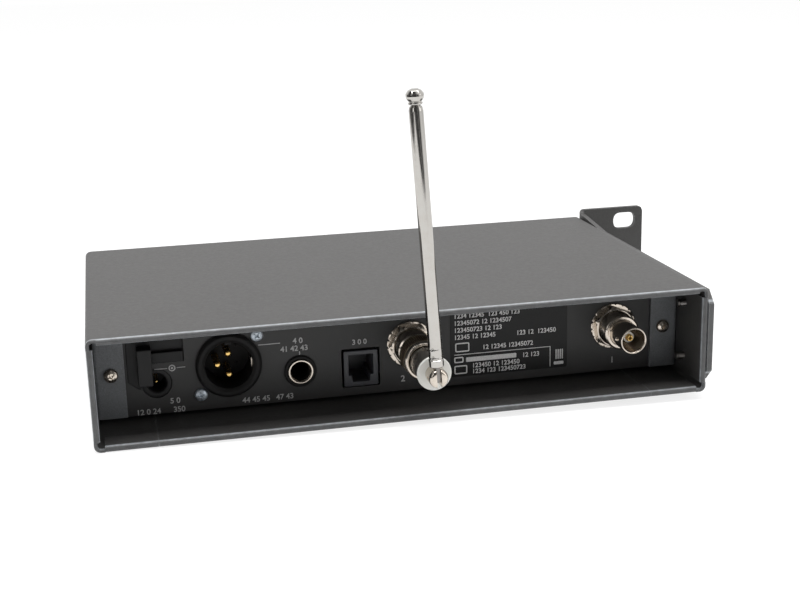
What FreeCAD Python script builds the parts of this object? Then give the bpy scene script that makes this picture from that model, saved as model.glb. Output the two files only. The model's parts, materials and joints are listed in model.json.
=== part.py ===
import FreeCAD, Part
import os
import Sketcher
from FreeCAD import Placement, Rotation, Vector

# Half-rack wireless receiver. Front faces -Y, rear faces +Y, X runs to the right as seen
# from the front. The origin is the middle of the case's underside.
doc = FreeCAD.newDocument("wireless_receiver")
sheet = doc.addObject("Spreadsheet::Sheet", "dims")

dimensions = {
    # folded case
    "case_width": 212.0, "case_depth": 130.0, "case_height": 38.0, "sheet_gauge": 1.2,
    "fold_radius": 2.2, "hem_depth": 9.0, "hem_gauge": 0.9, "hem_relief": 3.5,
    "flange_edge": 85.4, "seam_gap": 0.45, "joggle_width": 8.0,
    # rear panel, set back into the case
    "recess_depth": 24.5, "panel_gauge": 1.5, "panel_width": 206.8, "panel_low": 2.8, "panel_high": 36.4,
    "bracket_width": 10.4, "bracket_low": 3.0, "bracket_high": 35.2, "bracket_leg": 20.0,
    "bracket_corner": 1.6, "panel_screw_x": 99.0, "panel_screw_z": 18.4,
    # rack ear
    "ear_reach": 135.3, "ear_height": 43.7, "ear_gauge": 2.0, "ear_slot_x": 126.8,
    "ear_slot_pitch": 31.75, "ear_slot_length": 10.0, "ear_slot_width": 7.0, "ear_chamfer": 4.2,
    "ear_strip_low": 3.4, "ear_strip_high": 36.5, "ear_neck": 8.0, "ear_ramp": 28.0,
    "side_screw_y": 48.0, "side_screw_front_y": -48.0, "side_screw_low": 8.6, "side_screw_high": 28.5,
    # sockets on the rear panel
    "xlr_x": 59.4, "xlr_z": 18.2, "xlr_rim": 11.35, "xlr_neck": 10.2, "xlr_bore": 8.4, "xlr_depth": 12.0,
    "xlr_pin_circle": 3.8, "xlr_pin_radius": 1.2, "xlr_screw_dx": 10.0, "xlr_screw_dz": 9.75,
    "phone_x": 34.8, "phone_z": 13.6, "phone_rim": 5.65, "phone_ferrule": 4.45, "phone_bore": 3.25,
    "phone_depth": 28.0, "data_x": 13.4, "data_z": 12.6, "data_width": 12.2, "data_height": 13.0,
    "data_mouth": 8.7, "data_mouth_height": 6.8, "data_depth": 11.5,
    "power_x": 84.0, "power_z": 13.8, "power_nose": 5.05, "power_bore": 3.2, "power_pin": 1.0,
    "power_depth": 9.0, "label_left": -62.7, "label_right": -19.1, "label_low": 5.9, "label_high": 33.0,
    # cord hook beside the power inlet
    "hook_left": 74.4, "hook_right": 93.6, "hook_step": 90.2, "hook_edge": 85.3, "hook_top": 30.6,
    "hook_reach": 6.5, "hook_tip": 14.9, "hook_head": 27.8, "hook_bar_low": 21.0, "hook_bar_high": 24.8,
    # antenna sockets and the plug of the fitted antenna
    "antenna_1_x": -80.2, "antenna_2_x": -4.6, "antenna_z": 19.8, "socket_thread": 6.35, "socket_step": 9.6,
    "socket_tip": 20.2, "socket_barrel": 4.8, "socket_bore": 4.1, "nut_flats": 14.0, "nut_gauge": 2.8,
    "washer_gauge": 0.7, "washer_radius": 7.4, "stud_radius": 1.0, "stud_reach": 5.5,
    "ring_start": 10.2, "ring_end": 21.6, "ring_radius": 7.1, "plug_end": 33.6, "plug_radius": 5.2,
    "disc_radius": 5.8, "disc_gauge": 1.2, "knuckle_radius": 3.2, "knuckle_length": 6.6,
    "hinge_offset": 3.8, "hinge_pin_radius": 0.8, "slot_gap": 1.6, "tongue_gauge": 1.4,
    # telescopic mast
    "mast_lean": 3.5, "collar_start": 4.2, "collar_radius": 2.45, "mast_start": 8.0, "mast_top": 88.0,
    "outer_radius": 2.3, "outer_bore": 1.95, "middle_radius": 1.85, "middle_bore": 1.5,
    "inner_radius": 1.4, "knob_radius": 3.3, "knob_height": 4.9, "mast_floor": 2.0,
    # front
    "fascia_half": 104.3, "fascia_low": 1.4, "fascia_high": 36.2, "fascia_front": 8.0, "fascia_tuck": 3.0,
    "fascia_wall": 2.5, "fascia_chamfer": 2.5, "window_left": -44.0, "window_right": 26.0,
    "window_low": 8.4, "window_high": 29.4, "window_gauge": 1.2, "power_key_x": -88.0, "set_key_x": 56.0,
    "key_half_width": 6.0, "key_half_height": 3.6, "key_z": 18.0, "key_gap": 0.3, "key_proud": 1.2,
    "key_travel": 0.8, "rocker_x": 84.0, "rocker_half_width": 5.0, "rocker_half_height": 9.6,
    "rocker_pivot": 4.4, "trunnion_radius": 1.0, "trunnion_half": 6.9,
    # boards inside
    "board_low": 4.0, "board_gauge": 1.6, "board_half": 98.0, "board_front": -50.0, "board_rear": 35.0,
    "standoff_x": 76.0, "standoff_middle": 14.0, "standoff_front": -44.0, "standoff_rear": 10.0,
    "standoff_radius": 2.6,
    "front_board_y": 8.0, "front_board_half": 96.0, "front_board_high": 33.0, "lcd_gauge": 4.6,
    "shield_front": -12.0, "shield_rear": 27.0, "shield_height": 11.0, "shield_gauge": 0.4,
}
for row, (alias, value) in enumerate(dimensions.items(), start=1):
    sheet.set(f"A{row}", alias)
    sheet.set(f"B{row}", str(value))
    sheet.setAlias(f"B{row}", alias)
doc.recompute()

rear = "(dims.case_depth / 2)"
front = "(-dims.case_depth / 2)"
panel_face = "(dims.case_depth / 2 - dims.recess_depth)"
panel_back = "(dims.case_depth / 2 - dims.recess_depth - dims.panel_gauge)"
board_top = "(dims.board_low + dims.board_gauge)"
hinge_y = "(dims.case_depth / 2 - dims.recess_depth + dims.plug_end + dims.disc_gauge + dims.hinge_offset)"
fascia_face = "(-dims.case_depth / 2 - dims.fascia_front)"
fascia_inside = "(-dims.case_depth / 2 - dims.fascia_front + dims.fascia_wall)"
front_board_rear = "(-dims.case_depth / 2 + dims.front_board_y)"
front_board_front = "(-dims.case_depth / 2 + dims.front_board_y - dims.board_gauge)"
nodes = []


def node(piece, label):
    """Name a finished sub-part."""
    piece.Label = label
    nodes.append(piece)
    return piece


def put(piece, x="0", y="0", z="0"):
    piece.setExpression("Placement.Base.x", x)
    piece.setExpression("Placement.Base.y", y)
    piece.setExpression("Placement.Base.z", z)
    return piece


def box(name, x, y, z):
    """Box between two expressions along each axis."""
    piece = doc.addObject("Part::Box", name)
    for size, span in (("Length", x), ("Width", y), ("Height", z)):
        piece.setExpression(size, f"({span[1]}) - ({span[0]})")
    return put(piece, x[0], y[0], z[0])


def cylinder(name, radius, height, place, axis="z"):
    """Cylinder that starts at place and runs along +axis."""
    piece = doc.addObject("Part::Cylinder", name)
    piece.setExpression("Radius", radius)
    piece.setExpression("Height", height)
    turns = {"x": Rotation(Vector(0, 1, 0), 90), "y": Rotation(Vector(1, 0, 0), -90), "z": Rotation()}
    piece.Placement = Placement(Vector(), turns[axis])
    return put(piece, *place)


def cut(name, base, tool):
    piece = doc.addObject("Part::Cut", name)
    piece.Base = base
    piece.Tool = tool
    return piece


def fuse(name, pieces):
    piece = doc.addObject("Part::MultiFuse", name)
    piece.Shapes = pieces
    return piece


def group(name, pieces):
    """Separate solids kept in one sub-part."""
    piece = doc.addObject("Part::Compound", name)
    piece.Links = pieces
    return piece


def new_body(name):
    return doc.addObject("PartDesign::Body", name)


def new_sketch(body, plane, offset="0"):
    sketch = body.newObject("Sketcher::SketchObject", body.Name + "_sketch")
    origin_plane = [item for item in body.Origin.OriginFeatures if item.Role == plane][0]
    sketch.AttachmentSupport = [(origin_plane, "")]
    sketch.MapMode = "FlatFace"
    sketch.setExpression("AttachmentOffset.Base.z", offset)
    return sketch


def pin(sketch, geometry, point, where):
    """Hold one point of the sketch at a pair of expressions."""
    for kind, target in zip(("DistanceX", "DistanceY"), where):
        spot = sketch.getPoint(geometry, point)
        value = spot.x if kind == "DistanceX" else spot.y
        number = sketch.addConstraint(Sketcher.Constraint(kind, -1, 1, geometry, point, value))
        sketch.setExpression(f"Constraints[{number}]", target)


def outline(sketch, corners):
    """Closed polygon whose corners are pairs of expressions."""
    count = len(corners)
    start = sketch.GeometryCount
    turn = Vector(0, 0, 1)
    ring = [Rotation(turn, 360 * step / count).multVec(Vector(10, 0, 0)) for step in range(count)]
    for step in range(count):
        sketch.addGeometry(Part.LineSegment(ring[step], ring[(step + 1) % count]), False)
    for step in range(count):
        following = start + (step + 1) % count
        sketch.addConstraint(Sketcher.Constraint("Coincident", start + step, 2, following, 1))
    for step, where in enumerate(corners):
        pin(sketch, start + step, 1, where)


def rectangle(sketch, x, y):
    outline(sketch, [(x[0], y[0]), (x[1], y[0]), (x[1], y[1]), (x[0], y[1])])


def circle(sketch, centre, radius):
    number = sketch.addGeometry(Part.Circle(Vector(5, 5, 0), Vector(0, 0, 1), 2), False)
    size = sketch.addConstraint(Sketcher.Constraint("Radius", number, 2))
    sketch.setExpression(f"Constraints[{size}]", radius)
    pin(sketch, number, 3, centre)


def pad(body, sketch, length, reversed_way=False, midplane=False):
    feature = body.newObject("PartDesign::Pad", body.Name + "_pad")
    feature.Profile = sketch
    feature.setExpression("Length", length)
    feature.Reversed = reversed_way
    feature.Midplane = midplane
    sketch.Visibility = False
    doc.recompute()
    return feature


def pocket(body, sketch, length, reversed_way=False, midplane=False):
    """Pocket that must take material away."""
    before = body.Shape.Volume
    feature = body.newObject("PartDesign::Pocket", body.Name + "_pocket")
    feature.Profile = sketch
    feature.setExpression("Length", length)
    feature.Reversed = reversed_way
    feature.Midplane = midplane
    doc.recompute()
    if body.Shape.Volume > before - 0.01:
        raise ValueError(f"{body.Name}: the pocket takes nothing away")
    return feature


def edges(shape, wanted):
    """Names of the edges that a test picks out."""
    return [f"Edge{number}" for number, edge in enumerate(shape.Edges, start=1) if wanted(edge)]


def straight_along(edge, direction):
    first, last = edge.Vertexes[0].Point, edge.Vertexes[-1].Point
    run = last - first
    return run.Length > 0.01 and abs(run.normalize().dot(direction)) > 0.999


def dress(body, kind, size, wanted):
    """Fillet or Chamfer on the chosen edges."""
    base = body.Tip
    feature = body.newObject(f"PartDesign::{kind}", f"{body.Name}_{kind.lower()}")
    feature.Base = (base, edges(base.Shape, wanted))
    feature.setExpression("Radius" if kind == "Fillet" else "Size", size)
    doc.recompute()
    return feature


def turned(name, profile, plane="XY_Plane"):
    """Solid of revolution; profile holds (radius, distance along the axis)."""
    body = new_body(name)
    sketch = new_sketch(body, plane)
    outline(sketch, profile)
    feature = body.newObject("PartDesign::Revolution", name + "_turn")
    feature.Profile = sketch
    feature.ReferenceAxis = (sketch, ["V_Axis"])
    feature.Angle = 360
    doc.recompute()
    return body


def profile_block(name, plane, corners, length, offset="0", reversed_way=False, midplane=False):
    """Body padded from one closed outline."""
    body = new_body(name)
    sketch = new_sketch(body, plane, offset)
    outline(sketch, corners)
    pad(body, sketch, length, reversed_way, midplane)
    return body


# ---- folded case -------------------------------------------------------------------------

def countersunk_places():
    """Corner screws that hold the bottom plate to the case's flanges."""
    return [(sx, sy) for sx in ("1", "-1") for sy in (f"({front} + 12)", "(26)")]


def countersinks(name, sign):
    """Cones that widen downwards, as a flat head needs."""
    cones = []
    for step, (sx, y) in enumerate(countersunk_places()):
        cone = doc.addObject("Part::Cone", f"{name}_{step}")
        cone.Radius1 = 2.9 + 0.1 * sign
        cone.Radius2 = 1.7 + 0.1 * sign
        cone.setExpression("Height", "dims.sheet_gauge")
        cones.append(put(cone, f"{sx} * (dims.flange_edge + dims.joggle_width / 2)", y, "0"))
    return cones


def side_screw_spots(x):
    return [(x, y, z) for y in ("dims.side_screw_y", "dims.side_screw_front_y")
            for z in ("dims.side_screw_low", "dims.side_screw_high")]


def case_sleeve():
    half, top, wall = "dims.case_width / 2", "dims.case_height", "dims.sheet_gauge"
    corners = [("dims.flange_edge", "0"), (half, "0"), (half, top), (f"-{half}", top), (f"-{half}", "0"),
               ("-dims.flange_edge", "0"), ("-dims.flange_edge", wall), (f"-{half} + {wall}", wall),
               (f"-{half} + {wall}", f"{top} - {wall}"), (f"{half} - {wall}", f"{top} - {wall}"),
               (f"{half} - {wall}", wall), ("dims.flange_edge", wall)]
    body = profile_block("sleeve_body", "XZ_Plane", corners, "dims.case_depth", midplane=True)
    outer = dimensions["case_width"] / 2
    height = dimensions["case_height"]

    def outer_fold(edge):
        spot = edge.Vertexes[0].Point
        on_corner = abs(abs(spot.x) - outer) < 0.01 and min(abs(spot.z), abs(spot.z - height)) < 0.01
        return on_corner and straight_along(edge, Vector(0, 1, 0))

    def inner_fold(edge):
        spot = edge.Vertexes[0].Point
        gauge = dimensions["sheet_gauge"]
        side = abs(abs(spot.x) - outer + gauge) < 0.01
        level = min(abs(spot.z - gauge), abs(spot.z - height + gauge)) < 0.01
        return side and level and straight_along(edge, Vector(0, 1, 0))

    dress(body, "Fillet", "dims.fold_radius", outer_fold)
    dress(body, "Fillet", "dims.fold_radius - dims.sheet_gauge", inner_fold)
    hems = new_sketch(body, "XZ_Plane", f"-{rear}")
    inside, layer = f"{half} - {wall}", "dims.hem_gauge"
    reach = f"{half} - dims.hem_relief"
    rectangle(hems, (f"-({reach})", reach), (f"{top} - {wall} - {layer}", f"{top} - {wall}"))
    for side in ("1", "-1"):
        rectangle(hems, (f"{side} * ({inside} - {layer})", f"{side} * ({inside})"),
                  ("dims.hem_relief", f"{top} - dims.hem_relief"))
        rectangle(hems, (f"{side} * dims.flange_edge", f"{side} * ({reach})"), (wall, f"{wall} + {layer}"))
    pad(body, hems, "dims.hem_depth")
    tools = countersinks("sleeve_countersink", 1)
    for step, spot in enumerate(side_screw_spots(f"-{half} - 1")):
        tools.append(cylinder(f"sleeve_side_hole_{step}", "1.5", "4", spot, "x"))
    for step, spot in enumerate(side_screw_spots(f"{half} - 3")):
        tools.append(cylinder(f"sleeve_other_hole_{step}", "1.25", "4", spot, "x"))
    return node(cut("sleeve", body, fuse("sleeve_tools", tools)), "case_sleeve")


def bottom_plate():
    edge, wall = "(dims.flange_edge - dims.seam_gap)", "dims.sheet_gauge"
    lip = "(dims.flange_edge + dims.joggle_width)"
    corners = [(f"-{edge}", "0"), (edge, "0"), (edge, wall), (lip, wall), (lip, f"2 * {wall}"),
               (f"{edge} - 1.5", f"2 * {wall}"), (f"{edge} - 1.5", wall), (f"-{edge} + 1.5", wall),
               (f"-{edge} + 1.5", f"2 * {wall}"), (f"-{lip}", f"2 * {wall}"), (f"-{lip}", wall),
               (f"-{edge}", wall)]
    start = f"({front} + dims.fascia_tuck + 1)"
    length = f"{panel_face} - 8 - {start}"
    body = profile_block("bottom_body", "XZ_Plane", corners, length, offset=f"-{start}", reversed_way=True)
    flat = new_sketch(body, "XZ_Plane")
    rectangle(flat, (f"-{edge}", edge), ("0", wall))
    pad(body, flat, "dims.case_depth", midplane=True)
    hem = new_sketch(body, "XZ_Plane", f"-{rear}")
    rectangle(hem, (f"-{edge}", edge), ("0", f"{wall} + dims.hem_gauge"))
    pad(body, hem, "dims.hem_depth")
    holes = new_sketch(body, "XY_Plane")
    for sx, y in countersunk_places():
        circle(holes, (f"{sx} * (dims.flange_edge + dims.joggle_width / 2)", y), "1.5")
    pocket(body, holes, "20", midplane=True)
    return node(body, "bottom_plate")


def bottom_screws():
    screws = []
    heads = countersinks("bottom_screw_head", 0)
    for step, (sx, y) in enumerate(countersunk_places()):
        shank = cylinder(f"bottom_screw_shank_{step}", "1.5", "2.6",
                         (f"{sx} * (dims.flange_edge + dims.joggle_width / 2)", y, "1"))
        screws.append(fuse(f"bottom_screw_{step}", [heads[step], shank]))
    return node(group("bottom_screw_set", screws), "bottom_screws")


def panel_brackets():
    """Bent angles that close the gap between the case walls and the rear panel."""
    for name, side in (("left_panel_bracket", "-1"), ("right_panel_bracket", "1")):
        wall = "(dims.case_width / 2 - dims.sheet_gauge)"
        gauge = "dims.sheet_gauge"
        face = f"({panel_face} + {gauge})"
        corners = [(f"{side} * {wall}", face), (f"{side} * ({wall} - dims.bracket_width)", face),
                   (f"{side} * ({wall} - dims.bracket_width)", panel_face),
                   (f"{side} * ({wall} - {gauge})", panel_face),
                   (f"{side} * ({wall} - {gauge})", f"{face} - dims.bracket_leg"),
                   (f"{side} * {wall}", f"{face} - dims.bracket_leg")]
        body = profile_block(name + "_body", "XY_Plane", corners, "dims.bracket_high - dims.bracket_low",
                             offset="dims.bracket_low")
        inner = dimensions["case_width"] / 2 - dimensions["sheet_gauge"] - dimensions["bracket_width"]
        dress(body, "Fillet", "dims.bracket_corner",
              lambda edge: abs(abs(edge.Vertexes[0].Point.x) - inner) < 0.01
              and straight_along(edge, Vector(0, 1, 0)))
        holes = new_sketch(body, "XZ_Plane", f"-({face} + 1)")
        circle(holes, (f"{side} * dims.panel_screw_x", "dims.panel_screw_z"), "1.6")
        pocket(body, holes, "4", reversed_way=True)
        node(body, name)


def recessed_screw(name, head, head_height, shank, length, place, axis="y"):
    """Pan head screw whose head starts at place and whose shank runs against the axis."""
    turns = {"y": Rotation(), "-x": Rotation(Vector(0, 0, 1), 90), "z": Rotation(Vector(1, 0, 0), 90)}
    rim = f"{head} - 0.5"
    body = turned(name + "_body", [("0", f"-({length})"), (shank, f"-({length})"), (shank, "0"),
                                   (head, "0"),
                                   (head, f"{head_height} * 0.5"), (rim, head_height), ("0", head_height)])
    recess = doc.addObject("Part::Prism", name + "_recess")
    recess.Polygon = 6
    recess.setExpression("Circumradius", f"{head} * 0.45")
    recess.setExpression("Height", head_height)
    recess.Placement = Placement(Vector(), Rotation(Vector(1, 0, 0), -90))
    put(recess, "0", f"{head_height} * 0.45", "0")
    screw = cut(name, body, recess)
    screw.Placement = Placement(Vector(), turns[axis])
    return put(screw, *place)


def panel_screws():
    screws = []
    for step, side in enumerate(("1", "-1")):
        place = (f"{side} * dims.panel_screw_x", f"{panel_face} + dims.sheet_gauge", "dims.panel_screw_z")
        screws.append(recessed_screw(f"panel_screw_{step}", "2.5", "1.5", "1.45", "6", place))
    return node(group("panel_screw_set", screws), "panel_screws")


# ---- rear panel and what is mounted in it ------------------------------------------------

def rear_panel():
    body = new_body("panel_body")
    sheet_sketch = new_sketch(body, "XZ_Plane", f"-{panel_face}")
    rectangle(sheet_sketch, ("-dims.panel_width / 2", "dims.panel_width / 2"),
              ("dims.panel_low", "dims.panel_high"))
    pad(body, sheet_sketch, "dims.panel_gauge")
    holes = new_sketch(body, "XZ_Plane", f"-({panel_face} + 1)")
    circle(holes, ("dims.xlr_x", "dims.xlr_z"), "dims.xlr_neck")
    circle(holes, ("dims.phone_x", "dims.phone_z"), "dims.phone_rim - 0.6")
    circle(holes, ("dims.power_x", "dims.power_z"), "dims.power_nose")
    for name in ("antenna_1_x", "antenna_2_x"):
        circle(holes, (f"dims.{name}", "dims.antenna_z"), "dims.socket_thread")
    for side in ("1", "-1"):
        circle(holes, (f"{side} * dims.panel_screw_x", "dims.panel_screw_z"), "1.45")
        circle(holes,
               (f"dims.xlr_x + {side} * dims.xlr_screw_dx", f"dims.xlr_z - {side} * dims.xlr_screw_dz"),
               "1.5")
    rectangle(holes, ("dims.data_x - dims.data_width / 2", "dims.data_x + dims.data_width / 2"),
              ("dims.data_z - dims.data_height / 2", "dims.data_z + dims.data_height / 2"))
    rectangle(holes, ("dims.hook_left", "dims.hook_right - 3.4"), ("dims.hook_bar_low", "dims.hook_top"))
    pocket(body, holes, "dims.panel_gauge + 3", reversed_way=True)
    return node(body, "rear_panel")


def type_label():
    label = box("label_box", ("dims.label_left", "dims.label_right"), (panel_face, f"{panel_face} + 0.15"),
                ("dims.label_low", "dims.label_high"))
    return node(label, "type_label")


def cord_hook():
    """Moulding that fills a window in the panel and hooks the power cord."""
    lip = f"({panel_face} + 1.0)"
    step = [("dims.hook_step - 0.4", "dims.hook_top"), ("dims.hook_right", "dims.hook_top"),
            ("dims.hook_right", "dims.hook_tip + 0.2"), ("dims.hook_step", "dims.hook_tip - 2.5"),
            ("dims.hook_step - 0.4", "dims.hook_tip - 2.5")]
    plate = profile_block("hook_plate", "XZ_Plane", step, "1.0", offset=f"-{panel_face}", reversed_way=True)
    bar = box("hook_bar", ("dims.hook_left", "dims.hook_step"),
              (f"{panel_back} - 1.5", f"{panel_face} + 0.6"),
              ("dims.hook_bar_low", "dims.hook_bar_high"))
    backing = box("hook_backing", ("dims.hook_left - 1.5", "dims.hook_right"),
                  (f"{panel_back} - 1.5", panel_back), ("dims.hook_bar_low - 1.5", "dims.hook_top + 1.5"))
    arm = box("hook_arm", ("dims.hook_edge", "dims.hook_step"),
              (panel_back, f"{panel_face} + dims.hook_reach"),
              ("dims.hook_bar_high - 0.6", "dims.hook_head"))
    tongue = box("hook_tongue", ("dims.hook_edge", "dims.hook_step"),
                 (f"{panel_face} + dims.hook_reach - 1.7", f"{panel_face} + dims.hook_reach"),
                 ("dims.hook_tip", "dims.hook_head"))
    join = box("hook_join", ("dims.hook_edge", "dims.hook_step"), (panel_back, lip),
               ("dims.hook_bar_high - 0.6", "dims.hook_top"))
    return node(fuse("hook", [plate, bar, backing, arm, tongue, join]), "cord_hook")


def power_inlet():
    block = box("inlet_block", ("dims.power_x - 4.6", "dims.power_x + 4.6"),
                (f"{panel_back} - 11", panel_back),
                (board_top, "dims.power_z + 4.9"))
    nose = cylinder("inlet_nose", "dims.power_nose", f"{panel_face} - 0.3 - {panel_back} + 1",
                    ("dims.power_x", f"{panel_back} - 1", "dims.power_z"), "y")
    bore = cylinder("inlet_bore", "dims.power_bore", "dims.power_depth + 2",
                    ("dims.power_x", f"{panel_face} - dims.power_depth", "dims.power_z"), "y")
    node(cut("inlet", fuse("inlet_solid", [block, nose]), bore), "power_inlet")
    centre = turned("inlet_pin_body", [("0", "0"), ("dims.power_pin", "0"),
                                       ("dims.power_pin", "dims.power_depth - 1.6"),
                                       ("dims.power_pin - 0.5", "dims.power_depth - 1"),
                                       ("0", "dims.power_depth - 1")])
    node(put(centre, "dims.power_x", f"{panel_face} - dims.power_depth", "dims.power_z"), "power_inlet_pin")


def audio_output():
    """Three-pin male connector: moulded housing, pins, earth tab and two screws."""
    rim, neck, bore = "dims.xlr_rim", "dims.xlr_neck", "dims.xlr_bore"
    profile = [("0", "-19"), (neck, "-19"), (neck, "0"), (rim, "0"), (rim, "1.2"), (f"{rim} - 0.8", "2"),
               (f"{bore} + 0.6", "2"), (bore, "1.4"), (bore, "-dims.xlr_depth"), ("0", "-dims.xlr_depth")]
    shell = put(turned("xlr_shell", profile), "dims.xlr_x", panel_face, "dims.xlr_z")
    flange = box("xlr_flange", ("dims.xlr_x - 12.6", "dims.xlr_x + 12.6"),
                 (f"{panel_back} - 3", panel_back),
                 ("dims.xlr_z - 12.4", "dims.xlr_z + 12.4"))
    foot = box("xlr_foot", ("dims.xlr_x - 9", "dims.xlr_x + 9"),
               (f"{panel_face} - 19", f"{panel_back} - 3"),
               (board_top, "dims.xlr_z"))
    way = cylinder("xlr_way", bore, "dims.xlr_depth + 3",
                   ("dims.xlr_x", f"{panel_face} - dims.xlr_depth", "dims.xlr_z"), "y")
    threads = [cylinder(f"xlr_thread_{step}", "1.5", "8",
                        (f"dims.xlr_x + {side} * dims.xlr_screw_dx", f"{panel_back} - 5",
                         f"dims.xlr_z - {side} * dims.xlr_screw_dz"), "y")
               for step, side in enumerate(("1", "-1"))]
    housing = cut("xlr_body", fuse("xlr_solid", [shell, flange, foot]), fuse("xlr_tools", [way] + threads))
    node(housing, "xlr_housing")
    pins = []
    for step, (dx, dz) in enumerate((("0", "1"), ("1", "0"), ("0", "-1"))):
        radius = "dims.xlr_pin_radius"
        pin_body = turned(f"xlr_pin_{step}", [("0", "0"), (radius, "0"), (radius, "dims.xlr_depth - 1"),
                                              (f"{radius} - 0.6", "dims.xlr_depth - 0.1"),
                                              ("0", "dims.xlr_depth - 0.1")])
        pins.append(put(pin_body, f"dims.xlr_x + {dx} * dims.xlr_pin_circle",
                        f"{panel_face} - dims.xlr_depth", f"dims.xlr_z + {dz} * dims.xlr_pin_circle"))
    node(group("xlr_pin_set", pins), "xlr_pins")
    tab = box("xlr_tab_box", (f"dims.xlr_x - {bore} + 0.06", f"dims.xlr_x - {bore} + 0.76"),
              (f"{panel_face} - dims.xlr_depth", f"{panel_face} - 1"),
              ("dims.xlr_z - 1.9", "dims.xlr_z + 1.9"))
    wedge = cylinder("xlr_tab_limit", f"{bore} - 0.01", "dims.xlr_depth",
                     ("dims.xlr_x", f"{panel_face} - dims.xlr_depth", "dims.xlr_z"), "y")
    earth = doc.addObject("Part::Common", "xlr_tab")
    earth.Base = tab
    earth.Tool = wedge
    node(earth, "xlr_earth_tab")
    screws = [recessed_screw(f"xlr_screw_{step}", "2.3", "1.5", "1.5", "5",
                             (f"dims.xlr_x + {side} * dims.xlr_screw_dx", panel_face,
                              f"dims.xlr_z - {side} * dims.xlr_screw_dz"))
              for step, side in enumerate(("1", "-1"))]
    node(group("xlr_screw_set", screws), "xlr_screws")


def phone_output():
    block = box("phone_block", ("dims.phone_x - 8", "dims.phone_x + 8"), (f"{panel_back} - 31", panel_back),
                (board_top, "dims.phone_z + 7"))
    rim, ferrule = "dims.phone_rim", "dims.phone_ferrule"
    nose = turned("phone_nose", [(ferrule, f"{panel_back} - {panel_face}"),
                                 (f"{rim} - 0.6", f"{panel_back} - {panel_face}"), (f"{rim} - 0.6", "0"),
                                 (rim, "0"), (rim, "0.5"), (f"{rim} - 0.4", "0.9"), (ferrule, "0.9")])
    put(nose, "dims.phone_x", panel_face, "dims.phone_z")
    bore = cylinder("phone_bore", "dims.phone_bore", "dims.phone_depth",
                    ("dims.phone_x", f"{panel_face} - dims.phone_depth", "dims.phone_z"), "y")
    node(fuse("phone_body", [cut("phone_bored", block, bore), nose]), "jack_body")
    collar = turned("phone_collar", [("dims.phone_bore", f"{panel_back} - {panel_face}"),
                                     (ferrule, f"{panel_back} - {panel_face}"), (ferrule, "1.1"),
                                     (f"{ferrule} - 0.5", "1.6"), ("dims.phone_bore + 0.4", "1.6"),
                                     ("dims.phone_bore", "1.2")])
    node(put(collar, "dims.phone_x", panel_face, "dims.phone_z"), "jack_ferrule")


def data_socket():
    half, tall = "dims.data_width / 2", "dims.data_height / 2"
    side = (f"dims.data_x - {half}", f"dims.data_x + {half}")
    frame = box("data_frame", side, (f"{panel_back} - 1", f"{panel_face} + 0.3"),
                (f"dims.data_z - {tall}", f"dims.data_z + {tall}"))
    block = box("data_block", side, (f"{panel_back} - 13", panel_back),
                (board_top, f"dims.data_z + {tall}"))
    mouth_top = "(dims.data_z + dims.data_height / 2 - 1.6)"
    mouth_low = f"({mouth_top} - dims.data_mouth_height)"
    deep = (f"{panel_face} - dims.data_depth", f"{panel_face} + 1")
    mouth = box("data_mouth",
                ("dims.data_x - dims.data_mouth / 2", "dims.data_x + dims.data_mouth / 2"), deep,
                (mouth_low, mouth_top))
    latch = box("data_latch", ("dims.data_x - 3", "dims.data_x + 3"), deep,
                (f"{mouth_low} - 1.5", mouth_low))
    notch = box("data_notch", ("dims.data_x - 1.7", "dims.data_x + 1.7"), deep,
                (f"{mouth_low} - 2.8", f"{mouth_low} - 1.5"))
    case = fuse("data_case", [frame, block])
    node(cut("data_solid", case, fuse("data_tools", [mouth, latch, notch])), "data_socket")
    wires = []
    for step in range(6):
        x = f"(dims.data_x - 2.55 + {step} * 1.02)"
        wires.append(box(f"data_wire_{step}", (f"{x} - 0.22", f"{x} + 0.22"),
                         (f"{panel_face} - dims.data_depth", f"{panel_face} - 2.5"),
                         (f"{mouth_top} - 0.75", f"{mouth_top} - 0.05")))
    node(group("data_wires", wires), "data_contacts")


# ---- antenna sockets ---------------------------------------------------------------------

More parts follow.
